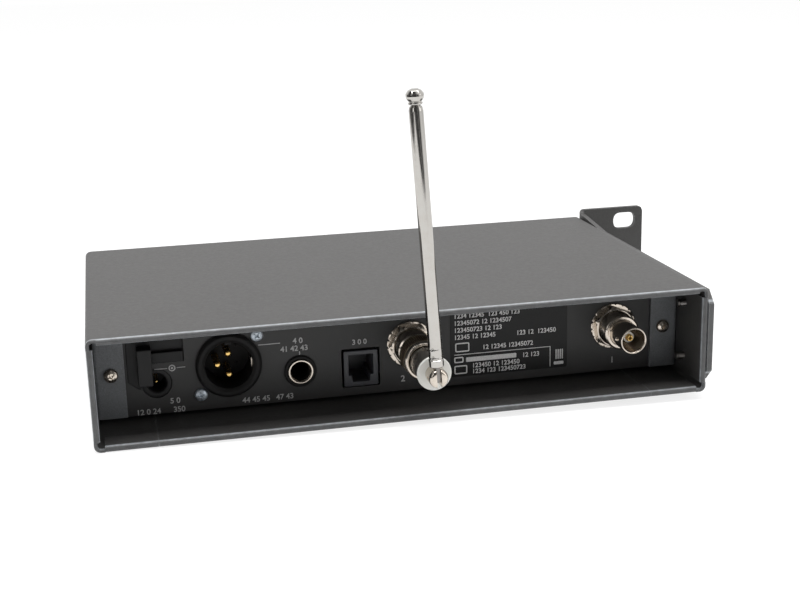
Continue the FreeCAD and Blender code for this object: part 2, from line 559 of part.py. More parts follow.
def antenna_socket(number):
    x, z = f"dims.antenna_{number}_x", "dims.antenna_z"
    name = f"socket_{number}"
    thread, barrel, bore = "dims.socket_thread", "dims.socket_barrel", "dims.socket_bore"
    profile = [("2.2", "-8"), ("4.2", "-8"), ("4.2", "-4"), ("7.6", "-4"), ("7.6", "-dims.panel_gauge"),
               (thread, "-dims.panel_gauge"), (thread, "dims.socket_step - 0.8"),
               (f"{thread} - 0.8", "dims.socket_step"), (f"{barrel} + 0.05", "dims.socket_step"),
               (barrel, "dims.socket_step + 0.6"), (barrel, "dims.socket_tip - 0.4"),
               (f"{barrel} - 0.3", "dims.socket_tip"), (bore, "dims.socket_tip"), (bore, "5"), ("2.2", "5")]
    shell = put(turned(name + "_turned", profile), x, panel_face, z)
    studs = [cylinder(f"{name}_stud_{step}", "dims.stud_radius", f"dims.stud_reach - {bore} - 0.3",
                      (f"{x} + {start}", f"{panel_face} + dims.socket_tip - 4.4", z), "x")
             for step, start in enumerate((f"{bore} + 0.3", "-dims.stud_reach"))]
    node(fuse(name + "_shell", [shell] + studs), f"antenna_{number}_socket_shell")
    insulator = turned(name + "_core", [("0.7", "-7.4"), ("2.2", "-7.4"), ("2.2", "12"), ("1.9", "12.4"),
                                        ("1.9", "15.4"), ("1.25", "15.4"), ("1.25", "12"), ("0.7", "12")])
    node(put(insulator, x, panel_face, z), f"antenna_{number}_socket_insulator")
    contact = turned(name + "_contact_body", [("0", "-11"), ("0.7", "-11"), ("0.7", "12"), ("1.25", "12"),
                                              ("1.25", "16.4"), ("1.0", "16.8"), ("0.55", "16.8"),
                                              ("0.55", "12.6"), ("0", "12.6")])
    node(put(contact, x, panel_face, z), f"antenna_{number}_socket_contact")
    washer = turned(name + "_washer_body", [(thread, "0"), ("dims.washer_radius", "0"),
                                            ("dims.washer_radius", "dims.washer_gauge"),
                                            (thread, "dims.washer_gauge")])
    node(put(washer, x, panel_face, z), f"antenna_{number}_socket_washer")
    hexagon = doc.addObject("Part::Prism", name + "_hexagon")
    hexagon.Polygon = 6
    hexagon.setExpression("Circumradius", "dims.nut_flats / 2 / cos(30)")
    hexagon.setExpression("Height", "dims.nut_gauge")
    facing = Rotation(Vector(1, 0, 0), -90)
    hexagon.Placement = Placement(Vector(), facing)
    crown = turned(name + "_crown", [("0", "0"), ("dims.nut_flats / 2 + 1.1", "0"),
                                     ("dims.nut_flats / 2 + 1.1", "dims.nut_gauge - 0.8"),
                                     ("dims.nut_flats / 2", "dims.nut_gauge"), ("0", "dims.nut_gauge")])
    blank = doc.addObject("Part::Common", name + "_blank")
    blank.Base = hexagon
    blank.Tool = crown
    hole = cylinder(name + "_nut_hole", thread, "dims.nut_gauge + 2", ("0", "-1", "0"), "y")
    nut = cut(name + "_nut", blank, hole)
    nut.Placement = Placement(Vector(), Rotation(Vector(0, 1, 0), 8 * number))
    node(put(nut, x, f"{panel_face} + dims.washer_gauge", z), f"antenna_{number}_socket_nut")


# ---- fitted antenna ----------------------------------------------------------------------

def leaning(piece, y):
    """Stand a piece that was drawn upright at the plug's axis, leaning with the mast."""
    piece.Placement = Placement(Vector(), Rotation(Vector(0, 1, 0), 1))
    piece.setExpression("Placement.Rotation.Angle", "dims.mast_lean")
    return put(piece, "dims.antenna_2_x", y, "dims.antenna_z")


def antenna_plug():
    sleeve_end, radius = "dims.plug_end", "dims.plug_radius"
    grip, ring_end = "(dims.socket_bore - 0.35)", "dims.ring_end"
    tip = "dims.socket_tip"
    profile = [("2.4", f"{tip} - 6"), (grip, f"{tip} - 6"), (grip, f"{tip} + 0.5"), ("4.4", f"{tip} + 0.5"),
               ("4.4", f"{ring_end} + 0.3"), (radius, f"{ring_end} + 0.3"), (radius, f"{sleeve_end} - 0.6"),
               (f"{radius} - 0.6", sleeve_end), ("0", sleeve_end), ("0", f"{tip} + 0.5"),
               ("2.4", f"{tip} + 0.5")]
    node(put(turned("plug_turned", profile), "dims.antenna_2_x", panel_face, "dims.antenna_z"),
         "antenna_plug_body")
    centre = turned("plug_pin_turned", [("0", "13.2"), ("0.3", "13.2"), ("0.45", "13.6"),
                                        ("0.45", f"{tip} + 0.5"),
                                        ("0", f"{tip} + 0.5")])
    node(put(centre, "dims.antenna_2_x", panel_face, "dims.antenna_z"), "antenna_plug_pin")
    knurl_end, collar = "(dims.ring_end - 2.8)", "dims.ring_radius"
    ring_profile = [("5.8", "dims.ring_start"), (f"{collar} - 0.5", "dims.ring_start"),
                    (f"{collar} - 0.1", "dims.ring_start + 0.5"), (f"{collar} - 0.1", knurl_end),
                    (f"{collar} - 0.7", f"{knurl_end} + 0.3"), (collar, f"{knurl_end} + 0.7"),
                    (collar, f"{ring_end} - 0.5"), (f"{collar} - 0.5", ring_end), ("4.7", ring_end),
                    ("4.7", f"{tip} + 0.3"), ("5.8", f"{tip} + 0.3")]
    node(put(turned("ring_turned", ring_profile), "dims.antenna_2_x", panel_face, "dims.antenna_z"),
         "bayonet_ring")
    disc = turned("disc_turned", [("0", "0"), ("dims.disc_radius", "0"),
                                  ("dims.disc_radius", "dims.disc_gauge - 0.3"),
                                  ("dims.disc_radius - 0.3", "dims.disc_gauge"), ("0", "dims.disc_gauge")])
    node(put(disc, "dims.antenna_2_x", f"{panel_face} + {sleeve_end}", "dims.antenna_z"),
         "antenna_insulating_disc")


def antenna_knuckle():
    """Slotted end of the plug with its hinge pin."""
    length, radius = "dims.knuckle_length", "dims.knuckle_radius"
    stub = turned("knuckle_turned", [("0", "-dims.hinge_offset"), (radius, "-dims.hinge_offset"),
                                     (radius, f"{length} - dims.hinge_offset - 0.8"),
                                     (f"{radius} - 0.8", f"{length} - dims.hinge_offset"),
                                     ("0", f"{length} - dims.hinge_offset")])
    slot = box("knuckle_slot", ("-dims.slot_gap / 2", "dims.slot_gap / 2"),
               ("-dims.hinge_offset + 0.7", "10"),
               ("-10", "10"))
    bore = cylinder("knuckle_bore", "dims.hinge_pin_radius", "20", ("-10", "0", "0"), "x")
    node(leaning(cut("knuckle", stub, fuse("knuckle_tools", [slot, bore])), hinge_y), "antenna_knuckle")
    rivet = cylinder("rivet", "dims.hinge_pin_radius", f"2 * {radius} - 0.8",
                     (f"-{radius} + 0.4", "0", "0"), "x")
    moved = doc.addObject("Part::MultiFuse", "rivet_leaning")
    moved.Shapes = [rivet, cylinder("rivet_core", "dims.hinge_pin_radius", "1", ("-0.5", "0", "0"), "x")]
    node(leaning(moved, hinge_y), "hinge_pin")


def mast_sections():
    """Tongue and three telescoping sections, drawn upright from the hinge axis."""
    start, top = "dims.collar_start", "dims.mast_top"
    collar = turned("mast_collar", [("0", start), ("dims.collar_radius - 0.3", start),
                                    ("dims.collar_radius", f"{start} + 0.3"),
                                    ("dims.collar_radius", f"{start} + 2.0"),
                                    ("dims.collar_radius - 0.4", f"{start} + 2.3"),
                                    ("dims.collar_radius - 0.4", "dims.mast_start"),
                                    ("0", "dims.mast_start")],
                    "XZ_Plane")
    tongue = box("mast_tongue", ("-dims.tongue_gauge / 2", "dims.tongue_gauge / 2"), ("-1.9", "1.9"),
                 ("0", f"{start} + 0.5"))
    eye = cylinder("mast_eye", "1.9", "dims.tongue_gauge", ("-dims.tongue_gauge / 2", "0", "0"), "x")
    bore = cylinder("mast_eye_bore", "dims.hinge_pin_radius + 0.05", "10", ("-5", "0", "0"), "x")
    foot = cut("mast_foot", fuse("mast_foot_solid", [collar, tongue, eye]), bore)
    node(leaning(foot, hinge_y), "mast_foot")
    outer = turned("outer_turned", [("0", "dims.mast_start"), ("dims.outer_radius", "dims.mast_start"),
                                    ("dims.outer_radius", f"{top} - 0.4"), ("dims.outer_radius - 0.2", top),
                                    ("dims.outer_bore", top),
                                    ("dims.outer_bore", "dims.mast_start + dims.mast_floor"),
                                    ("0", "dims.mast_start + dims.mast_floor")], "XZ_Plane")
    node(leaning(outer, hinge_y), "mast_outer_section")
    middle_foot = "(dims.mast_start + dims.mast_floor + 0.3)"
    middle = turned("middle_turned", [("0", middle_foot), ("dims.middle_radius", middle_foot),
                                      ("dims.middle_radius", f"{top} + 0.4"),
                                      ("dims.middle_bore", f"{top} + 0.4"),
                                      ("dims.middle_bore", f"{middle_foot} + dims.mast_floor"),
                                      ("0", f"{middle_foot} + dims.mast_floor")], "XZ_Plane")
    node(leaning(middle, hinge_y), "mast_middle_section")
    inner_foot = f"({middle_foot} + dims.mast_floor + 0.3)"
    inner = turned("inner_turned", [("0", inner_foot), ("dims.inner_radius", inner_foot),
                                    ("dims.inner_radius", f"{top} + 1.2"), ("0", f"{top} + 1.2")],
                   "XZ_Plane")
    node(leaning(inner, hinge_y), "mast_inner_section")
    knob, base = "dims.knob_radius", f"({top} + 0.8)"
    cap = turned("knob_turned", [("1.4", base), ("1.9", base), ("2.3", f"{base} + 0.5"),
                                 ("2.3", f"{base} + 0.9"),
                                 (f"{knob} - 0.3", f"{base} + 1.4"), (knob, f"{base} + 2.0"),
                                 (knob, f"{base} + 3.4"), (f"{knob} - 0.5", f"{base} + 4.4"),
                                 (f"{knob} - 1.5", f"{base} + dims.knob_height"),
                                 ("0", f"{base} + dims.knob_height"), ("0", f"{base} + 0.4"),
                                 ("1.4", f"{base} + 0.4")], "XZ_Plane")
    node(leaning(cap, hinge_y), "mast_tip_knob")


# ---- rack ear ----------------------------------------------------------------------------

def rack_ear():
    wall, gauge = "(-dims.case_width / 2)", "dims.ear_gauge"
    middle, half = "(dims.case_height / 2)", "(dims.ear_height / 2)"
    low, high = "dims.ear_strip_low", "dims.ear_strip_high"
    neck, ramp, bevel = f"({front} + dims.ear_neck)", f"({front} + dims.ear_ramp)", "dims.ear_chamfer"
    strip = [(f"{front} - {gauge}", f"{middle} - {half}"), (neck, f"{middle} - {half}"), (ramp, low),
             (f"{rear} - {bevel}", low), (rear, f"{low} + {bevel}"), (rear, f"{high} - {bevel}"),
             (f"{rear} - {bevel}", high), (ramp, high), (neck, f"{middle} + {half}"),
             (f"{front} - {gauge}", f"{middle} + {half}")]
    body = profile_block("ear_body", "YZ_Plane", strip, gauge, offset=f"{wall} - {gauge}")
    plate = new_sketch(body, "XZ_Plane", f"-{front}")
    rectangle(plate, ("-dims.ear_reach", wall), (f"{middle} - {half}", f"{middle} + {half}"))
    pad(body, plate, gauge)
    reach = -dimensions["ear_reach"]
    dress(body, "Fillet", "2.0", lambda edge: abs(edge.Vertexes[0].Point.x - reach) < 0.01
          and straight_along(edge, Vector(0, 1, 0)))
    fold_y = -dimensions["case_depth"] / 2 - dimensions["ear_gauge"]
    fold_x = -dimensions["case_width"] / 2
    dress(body, "Fillet", "1.6", lambda edge: abs(edge.Vertexes[0].Point.x - fold_x) < 0.01
          and abs(edge.Vertexes[0].Point.y - fold_y) < 0.01 and straight_along(edge, Vector(0, 0, 1)))
    slots = new_sketch(body, "XZ_Plane", f"-({front} + 1)")
    for side in ("1", "-1"):
        z = f"({middle} + {side} * dims.ear_slot_pitch / 2)"
        length = "(dims.ear_slot_length - dims.ear_slot_width) / 2"
        rectangle(slots, (f"-dims.ear_slot_x - {length}", f"-dims.ear_slot_x + {length}"),
                  (f"{z} - dims.ear_slot_width / 2", f"{z} + dims.ear_slot_width / 2"))
    pocket(body, slots, f"{gauge} + 2", reversed_way=True)
    ends = [cylinder(f"ear_slot_end_{number}", "dims.ear_slot_width / 2", f"{gauge} + 2",
                     (f"-dims.ear_slot_x + {way} * (dims.ear_slot_length - dims.ear_slot_width) / 2",
                      f"{front} - {gauge} - 1", f"{middle} + {side} * dims.ear_slot_pitch / 2"), "y")
            for number, (way, side) in enumerate((w, s) for w in ("1", "-1") for s in ("1", "-1"))]
    holes = [cylinder(f"ear_hole_{step}", "1.6", "6", spot, "x")
             for step, spot in enumerate(side_screw_spots(f"{wall} - {gauge} - 2"))]
    return node(cut("ear", body, fuse("ear_tools", ends + holes)), "rack_ear")


def ear_screws():
    screws = [recessed_screw(f"ear_screw_{step}", "2.9", "1.9", "1.5",
                             "dims.ear_gauge + dims.sheet_gauge + 3",
                             spot, "-x")
              for step, spot in enumerate(side_screw_spots("-dims.case_width / 2 - dims.ear_gauge"))]
    return node(group("ear_screw_set", screws), "ear_screws")


# ---- boards inside -----------------------------------------------------------------------

def standoff_places():
    return [(x, y) for x in ("-dims.standoff_x", "dims.standoff_middle", "dims.standoff_x")
            for y in ("dims.standoff_front", "dims.standoff_rear")]


def main_board():
    body = new_body("board_body")
    sketch = new_sketch(body, "XY_Plane", "dims.board_low")
    rectangle(sketch, ("-dims.board_half", "dims.board_half"), ("dims.board_front", "dims.board_rear"))
    pad(body, sketch, "dims.board_gauge")
    holes = new_sketch(body, "XY_Plane", "dims.board_low - 1")
    for x, y in standoff_places():
        circle(holes, (x, y), "1.6")
    pocket(body, holes, "dims.board_gauge + 2", reversed_way=True)
    node(body, "main_board")
    pillars, screws = [], []
    for step, (x, y) in enumerate(standoff_places()):
        pillar = turned(f"standoff_{step}", [("1.3", "0"), ("dims.standoff_radius", "0"),
                                             ("dims.standoff_radius", "dims.board_low - dims.sheet_gauge"),
                                             ("1.3", "dims.board_low - dims.sheet_gauge")], "XZ_Plane")
        pillars.append(put(pillar, x, y, "dims.sheet_gauge"))
        screws.append(recessed_screw(f"board_screw_{step}", "2.6", "1.6", "1.3", "4.0",
                                     (x, y, board_top), "z"))
    node(group("standoff_set", pillars), "board_standoffs")
    node(group("board_screw_set", screws), "board_screws")


def board_parts():
    """Tuner cans, supply parts and chips on the main board."""
    cans = (("tuner_shield_1", "-72", "-36"), ("tuner_shield_2", "-30", "6"))
    for name, left, right in cans:
        gauge, roof = "dims.shield_gauge", f"{board_top} + dims.shield_height"
        outside = box(name + "_outside", (left, right), ("dims.shield_front", "dims.shield_rear"),
                      (board_top, roof))
        inside = box(name + "_inside", (f"{left} + {gauge}", f"{right} - {gauge}"),
                     (f"dims.shield_front + {gauge}", f"dims.shield_rear - {gauge}"),
                     (f"{board_top} - 1", f"{roof} - {gauge}"))
        node(cut(name + "_can", outside, inside), name)
    cans_round = [cylinder(f"capacitor_{step}", "4", "12", (str(x), str(y), board_top))
                  for step, (x, y) in enumerate(((90, 16), (90, 5), (90, -6), (80, -14)))]
    node(group("capacitor_set", cans_round), "supply_capacitors")
    fins = [box(f"heat_fin_{step}", (f"{50 + 3 * step}", f"{51 + 3 * step}"), ("-40", "-22"),
                (f"{board_top} + 3", f"{board_top} + 14")) for step in range(6)]
    base = box("heat_base", ("50", "66"), ("-40", "-22"), (board_top, f"{board_top} + 3"))
    node(fuse("heat_sink", [base] + fins), "regulator_heat_sink")
    chips = [box(f"chip_{step}", (str(x), f"{x} + {size}"), (str(y), f"{y} + {size}"),
                 (board_top, f"{board_top} + 1.6"))
             for step, (x, y, size) in enumerate(((-30, -42, 14), (18, -36, 12), (20, -12, 9),
                                                  (-70, -40, 10)))]
    node(group("chip_set", chips), "board_chips")


def front_board():
    board = box("front_board_box", ("-dims.front_board_half", "dims.front_board_half"),
                (front_board_front, front_board_rear), (board_top, "dims.front_board_high"))
    node(board, "front_board")
    header = box("header_box", ("-18", "18"), (front_board_rear, "dims.board_front + 2"),
                 (board_top, f"{board_top} + 5"))
    node(header, "board_header")
    lcd = box("lcd_box", ("dims.window_left + 2", "dims.window_right - 2"),
              (f"{front_board_front} - dims.lcd_gauge", front_board_front),
              ("dims.window_low - 0.6", "dims.window_high + 0.6"))
    node(lcd, "display_module")
    spots = [("dims.power_key_x", "dims.key_z"), ("dims.set_key_x", "dims.key_z"),
             ("dims.rocker_x", "dims.key_z - 6"), ("dims.rocker_x", "dims.key_z + 6")]
    switches = []
    for step, (x, z) in enumerate(spots):
        base = box(f"switch_base_{step}", (f"{x} - 3", f"{x} + 3"), (f"{front_board_front} - 3.2",
                   front_board_front), (f"{z} - 3", f"{z} + 3"))
        plunger = cylinder(f"switch_plunger_{step}", "1.7", "1.2",
                           (x, f"{front_board_front} - 4.4", z), "y")
        switches.append(fuse(f"switch_{step}", [base, plunger]))
    node(group("switch_set", switches), "key_switches")


# ---- front panel and its keys ------------------------------------------------------------

def key_windows(sketch, gap):
    for x in ("dims.power_key_x", "dims.set_key_x"):
        rectangle(sketch, (f"{x} - dims.key_half_width - {gap}", f"{x} + dims.key_half_width + {gap}"),
                  (f"dims.key_z - dims.key_half_height - {gap}",
                   f"dims.key_z + dims.key_half_height + {gap}"))


def front_panel():
    body = new_body("fascia_body")
    sketch = new_sketch(body, "XZ_Plane", f"-{fascia_face}")
    rectangle(sketch, ("-dims.fascia_half", "dims.fascia_half"), ("dims.fascia_low", "dims.fascia_high"))
    pad(body, sketch, "dims.fascia_front + dims.fascia_tuck", reversed_way=True)
    face_y = -dimensions["case_depth"] / 2 - dimensions["fascia_front"]
    dress(body, "Chamfer", "dims.fascia_chamfer", lambda edge: abs(edge.CenterOfMass.y - face_y) < 0.01)
    hollow = new_sketch(body, "XZ_Plane", f"-{fascia_inside}")
    wall = "dims.fascia_wall"
    rectangle(hollow, (f"-dims.fascia_half + {wall}", f"dims.fascia_half - {wall}"),
              (f"dims.fascia_low + {wall}", f"dims.fascia_high - {wall}"))
    pocket(body, hollow, "dims.fascia_front + dims.fascia_tuck")
    windows = new_sketch(body, "XZ_Plane", f"-({fascia_face} - 1)")
    rectangle(windows, ("dims.window_left + 2", "dims.window_right - 2"),
              ("dims.window_low + 1.5", "dims.window_high - 1.5"))
    key_windows(windows, "dims.key_gap")
    rectangle(windows, ("dims.rocker_x - dims.rocker_half_width - 0.4",
                        "dims.rocker_x + dims.rocker_half_width + 0.4"),
              ("dims.key_z - dims.rocker_half_height - 0.6", "dims.key_z + dims.rocker_half_height + 0.6"))
    pocket(body, windows, "dims.fascia_wall + 2")
    seat = new_sketch(body, "XZ_Plane", f"-{fascia_face}")
    rectangle(seat, ("dims.window_left", "dims.window_right"), ("dims.window_low", "dims.window_high"))
    pocket(body, seat, "dims.window_gauge")
    lugs = []
    for step, side in enumerate(("1", "-1")):
        inner, outer = "dims.rocker_half_width + 0.7", "dims.rocker_half_width + 2.2"
        lug = box(f"lug_{step}", (f"dims.rocker_x + {side} * ({inner if side == '1' else outer})",
                                  f"dims.rocker_x + {side} * ({outer if side == '1' else inner})"),
                  (f"{fascia_inside} - 0.5", f"{fascia_inside} + 3.6"),
                  ("dims.key_z - 2.2", "dims.key_z + 2.2"))
        lugs.append(lug)
    bore = cylinder("lug_bore", "dims.trunnion_radius + 0.08", "30",
                    ("dims.rocker_x - 15", f"{fascia_face} + dims.rocker_pivot", "dims.key_z"), "x")
    node(cut("fascia", fuse("fascia_solid", [body] + lugs), bore), "front_panel")
    window = box("window_box", ("dims.window_left", "dims.window_right"),
                 (fascia_face, f"{fascia_face} + dims.window_gauge"),
                 ("dims.window_low", "dims.window_high"))
    node(window, "display_window")


def keys():
    for label, x in (("power_key", "dims.power_key_x"), ("set_key", "dims.set_key_x")):
        cap = box(label + "_cap", (f"{x} - dims.key_half_width", f"{x} + dims.key_half_width"),
                  (f"{fascia_face} - dims.key_proud", f"{fascia_inside} + 0.4"),
                  ("dims.key_z - dims.key_half_height", "dims.key_z + dims.key_half_height"))
        rounded = doc.addObject("Part::Fillet", label + "_rounded")
        rounded.Base = cap
        doc.recompute()
        rounded.Edges = [(int(name[4:]), 0.7, 0.7) for name in
                         edges(cap.Shape, lambda edge: straight_along(edge, Vector(0, 1, 0)))]
        flange = box(label + "_flange",
                     (f"{x} - dims.key_half_width - 1", f"{x} + dims.key_half_width + 1"),
                     (f"{fascia_inside} + 0.1", f"{fascia_inside} + 1.2"),
                     ("dims.key_z - dims.key_half_height - 1", "dims.key_z + dims.key_half_height + 1"))
        stem = cylinder(label + "_stem", "1.6", f"{front_board_front} - 4.4 - dims.key_travel - 0.15"
                        f" - {fascia_inside} - 0.5", (x, f"{fascia_inside} + 0.5", "dims.key_z"), "y")
        node(fuse(label + "_solid", [rounded, flange, stem]), label)
    pivot_y = f"{fascia_face} + dims.rocker_pivot"
    face, back = "-dims.rocker_pivot - 1.4", "1.6"
    outline_yz = [(face, "-dims.rocker_half_height"), ("-dims.rocker_pivot - 0.6", "0"),
                  (face, "dims.rocker_half_height"),
                  ("-dims.rocker_pivot + 0.5", "dims.rocker_half_height"),
                  (back, "4"), (back, "-4"), ("-dims.rocker_pivot + 0.5", "-dims.rocker_half_height")]
    slab = profile_block("rocker_slab", "YZ_Plane", outline_yz, "2 * dims.rocker_half_width", midplane=True)
    axle = cylinder("rocker_axle", "dims.trunnion_radius", "2 * dims.trunnion_half",
                    ("-dims.trunnion_half", "0", "0"), "x")
    nubs = [cylinder(f"rocker_nub_{step}", "1.4", "6", ("0", "-1", z), "y") for step,
            z in enumerate(("-6", "6"))]
    rocker = fuse("rocker_solid", [slab, axle] + nubs)
    node(put(rocker, "dims.rocker_x", pivot_y, "dims.key_z"), "up_down_rocker")


case_sleeve()
bottom_plate()
bottom_screws()
panel_brackets()
panel_screws()
rear_panel()
type_label()
cord_hook()
power_inlet()
audio_output()
phone_output()
data_socket()
for socket_number in (1, 2):
    antenna_socket(socket_number)
antenna_plug()
antenna_knuckle()
mast_sections()
rack_ear()
ear_screws()
main_board()
board_parts()
front_board()
front_panel()
keys()
doc.recompute()

for item in doc.Objects:
    if any(word in item.State for word in ("Invalid", "Error")):
        raise ValueError(f"{item.Label} did not compute: {item.State}")
os.makedirs("parts", exist_ok=True)
for piece in nodes:
    if piece.Shape.isNull() or not piece.Shape.isValid():
        raise ValueError(f"{piece.Label} has no valid shape")
    piece.Shape.exportStep(f"parts/{piece.Label}.step")
    box_now = piece.Shape.BoundBox
    print(f"{piece.Label:34s} {len(piece.Shape.Solids)} solids {piece.Shape.Volume:10.1f} mm3"
          f"  x {box_now.XMin:.1f}..{box_now.XMax:.1f} y {box_now.YMin:.1f}..{box_now.YMax:.1f}"
          f" z {box_now.ZMin:.1f}..{box_now.ZMax:.1f}")
print(len(nodes), "sub-parts")
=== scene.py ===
import json
import math

import bmesh
import bpy
from mathutils import Matrix, Vector


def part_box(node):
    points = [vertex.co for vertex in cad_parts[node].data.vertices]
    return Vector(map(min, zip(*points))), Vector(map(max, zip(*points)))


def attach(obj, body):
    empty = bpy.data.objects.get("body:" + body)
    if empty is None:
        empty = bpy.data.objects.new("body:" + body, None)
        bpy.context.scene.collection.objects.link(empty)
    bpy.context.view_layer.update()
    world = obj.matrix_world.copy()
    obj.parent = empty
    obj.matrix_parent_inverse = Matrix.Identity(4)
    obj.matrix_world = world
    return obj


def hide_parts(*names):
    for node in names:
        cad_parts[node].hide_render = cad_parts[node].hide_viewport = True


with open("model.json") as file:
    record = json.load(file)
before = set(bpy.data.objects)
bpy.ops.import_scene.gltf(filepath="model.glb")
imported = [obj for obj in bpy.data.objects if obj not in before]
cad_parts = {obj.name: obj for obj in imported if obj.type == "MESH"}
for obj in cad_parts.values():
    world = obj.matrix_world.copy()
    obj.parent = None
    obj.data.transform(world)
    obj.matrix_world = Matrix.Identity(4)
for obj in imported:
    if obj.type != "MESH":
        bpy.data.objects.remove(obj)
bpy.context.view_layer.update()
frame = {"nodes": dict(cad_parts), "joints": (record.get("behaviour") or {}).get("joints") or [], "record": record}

# Half-rack wireless receiver seen from behind. Sizes are in millimetres, and mm turns them into metres.
mm = 0.001
scene = bpy.context.scene
xAxis = Vector((1, 0, 0))
yAxis = Vector((0, 1, 0))
zAxis = Vector((0, 0, 1))


class Wire:  # a shader socket that can be used in sums
    def __init__(self, finish, socket):
        self.finish = finish
        self.socket = socket

    def sum(self, operation, first, second):
        return self.finish.add("ShaderNodeMath", {"operation": operation}, {0: first, 1: second})

    def __add__(self, other):
        return self.sum("ADD", self, other)

    def __radd__(self, other):
        return self.sum("ADD", other, self)

    def __sub__(self, other):
        return self.sum("SUBTRACT", self, other)

    def __rsub__(self, other):
        return self.sum("SUBTRACT", other, self)

    def __mul__(self, other):
        return self.sum("MULTIPLY", self, other)

    def __rmul__(self, other):
        return self.sum("MULTIPLY", other, self)


class Nodes:  # a node tree, and the one way that nodes are added to it
    def __init__(self, tree):
        self.tree = tree

    def add(self, kind, settings=None, sockets=None, out=0):
        node = self.tree.nodes.new(kind)
        for key, value in (settings or {}).items():
            if key == "stops":
                self.setStops(node.color_ramp, value)
            else:
                setattr(node, key, value)
        for key, value in (sockets or {}).items():
            self.join(node.inputs[key], value)
        return Wire(self, node.outputs[out])

    def setStops(self, ramp, stops):
        while len(ramp.elements) < len(stops):
            ramp.elements.new(0.5)
        for element, (place, level) in zip(ramp.elements, stops):
            element.position = place
            element.color = (level, level, level, 1)

    def join(self, socket, value):
        if isinstance(value, Wire):
            self.tree.links.new(value.socket, socket)
        else:
            socket.default_value = value

    def place(self, stretch=(1, 1, 1)):
        spot = self.add("ShaderNodeTexCoord", out=3)
        return self.add("ShaderNodeVectorMath", {"operation": "MULTIPLY"}, {0: spot, 1: stretch})

    def noise(self, size, detail=2, stretch=(1, 1, 1), rough=0.5):
        sockets = {"Vector": self.place(stretch), "Scale": 1 / (size * mm), "Detail": detail,
                   "Roughness": rough}
        return self.add("ShaderNodeTexNoise", None, sockets)

    def cells(self, size, stretch=(1, 1, 1)):
        return self.add("ShaderNodeTexVoronoi", None,
                        {"Vector": self.place(stretch), "Scale": 1 / (size * mm)})

    def ramp(self, value, stops):
        return self.add("ShaderNodeValToRGB", {"stops": stops}, {"Fac": value})

    def patches(self, size, low, high, detail=2, stretch=(1, 1, 1), rough=0.5):
        # noise that is 0 below one level and 1 above another
        return self.ramp(self.noise(size, detail, stretch, rough), [(low, 0), (high, 1)])

    def blend(self, factor, first, second):
        return self.add("ShaderNodeMix", {"data_type": "RGBA"}, {0: factor, 6: first, 7: second}, 2)

    def relief(self, height, strength, depth):
        return self.add("ShaderNodeBump", None,
                        {"Height": height, "Strength": strength, "Distance": depth * mm})

    def edges(self, reach):
        # 1 on outside edges and 0 on flats, for rubbed and worn edges
        rounded = self.add("ShaderNodeBevel", {"samples": 4}, {"Radius": reach * mm})
        flat = self.add("ShaderNodeNewGeometry", out=1)
        match = self.add("ShaderNodeVectorMath", {"operation": "DOT_PRODUCT"}, {0: rounded, 1: flat}, out=1)
        return self.ramp(1 - match, [(0.02, 0), (0.16, 1)])

    def rays(self):
        # 1 where the camera, a mirror or clear plastic looks straight at it
        outputs = self.add("ShaderNodeLightPath").socket.node.outputs
        return [Wire(self, outputs[f"Is {kind} Ray"]) for kind in ("Camera", "Glossy", "Transmission")]


class Finish(Nodes):  # a material
    def __init__(self, name, **settings):
        self.material = bpy.data.materials.new(name)
        self.material.use_nodes = True
        super().__init__(self.material.node_tree)
        self.shader = self.tree.nodes["Principled BSDF"]
        self.feed(**settings)

    def feed(self, **sockets):
        for key, value in sockets.items():
            spaced = "".join(" " + letter if letter.isupper() else letter for letter in key).title()
            self.join(self.shader.inputs[spaced.strip().replace("Ior", "IOR")], value)
        return self.material


def grey(level, warmth=0.0):
    return (level * (1 + warmth), level, level * (1 - warmth), 1)


# band in y along the rear hem's bead where the painted highlight lies, and its ramp
hemHighlightLine = {"start": 63.6, "width": 1.6, "stops": [(0, 0), (0.25, 1), (0.5, 1), (0.66, 0.2), (1, 0.1)]}


def powderPaint(name, level, warmth=0.02, gritSize=0.42, gritDepth=0.06, sheen=0.5, edgeWear=0.55, hem=0.0):
    # textured powder coat: pimples, mottling and cloudiness, a lighter rubbed line on worn folds, and a painted
    # highlight along the rear hems' beads
    finish = Finish(name, ior=1.5, roughness=sheen)
    clouds = finish.noise(38, 3)
    mottle = finish.patches(1.5, 0.3, 0.7, 4, rough=0.7)
    grit = finish.noise(gritSize, 3, rough=0.6)
    pimples = finish.ramp(finish.cells(gritSize * 2.1), [(0.08, 1), (0.55, 0)])
    speckle = finish.ramp(grit, [(0.35, 0), (0.7, 1)])
    tone = clouds * 0.55 + mottle * 0.45
    base = finish.blend(tone, grey(level * 0.82, warmth), grey(level * 1.16, warmth))
    dotted = finish.blend(speckle * 0.35, base, grey(level * 2.1, warmth))
    patchy = finish.ramp(finish.noise(2.2, 4, rough=0.65), [(0.3, 0.25), (0.65, 1)])
    worn = finish.edges(0.7) * patchy * edgeWear
    rubbed = finish.blend(worn, dotted, grey(level * 4 + 0.08, -0.03))
    # painted highlight: a pale line on the upper side of the rear hem's bead, where the overhead light glints; hem
    # sets its strength
    rear = finish.add("ShaderNodeSeparateXYZ", None, {0: finish.place()}, out=1)
    bead = finish.ramp((rear - hemHighlightLine["start"] * mm) * (1 / (hemHighlightLine["width"] * mm)), hemHighlightLine["stops"])
    bright = bead * (0.35 + patchy * 0.65) * hem
    return finish.feed(
        baseColor=finish.blend(bright, rubbed, grey(0.42, -0.06)),
        roughness=sheen - 0.12 + grit * 0.14 + mottle * 0.1 - worn * 0.12 - bright * 0.18,
        normal=finish.relief(grit * 0.5 + pimples * 0.3 + mottle * 0.6, 0.7, gritDepth))


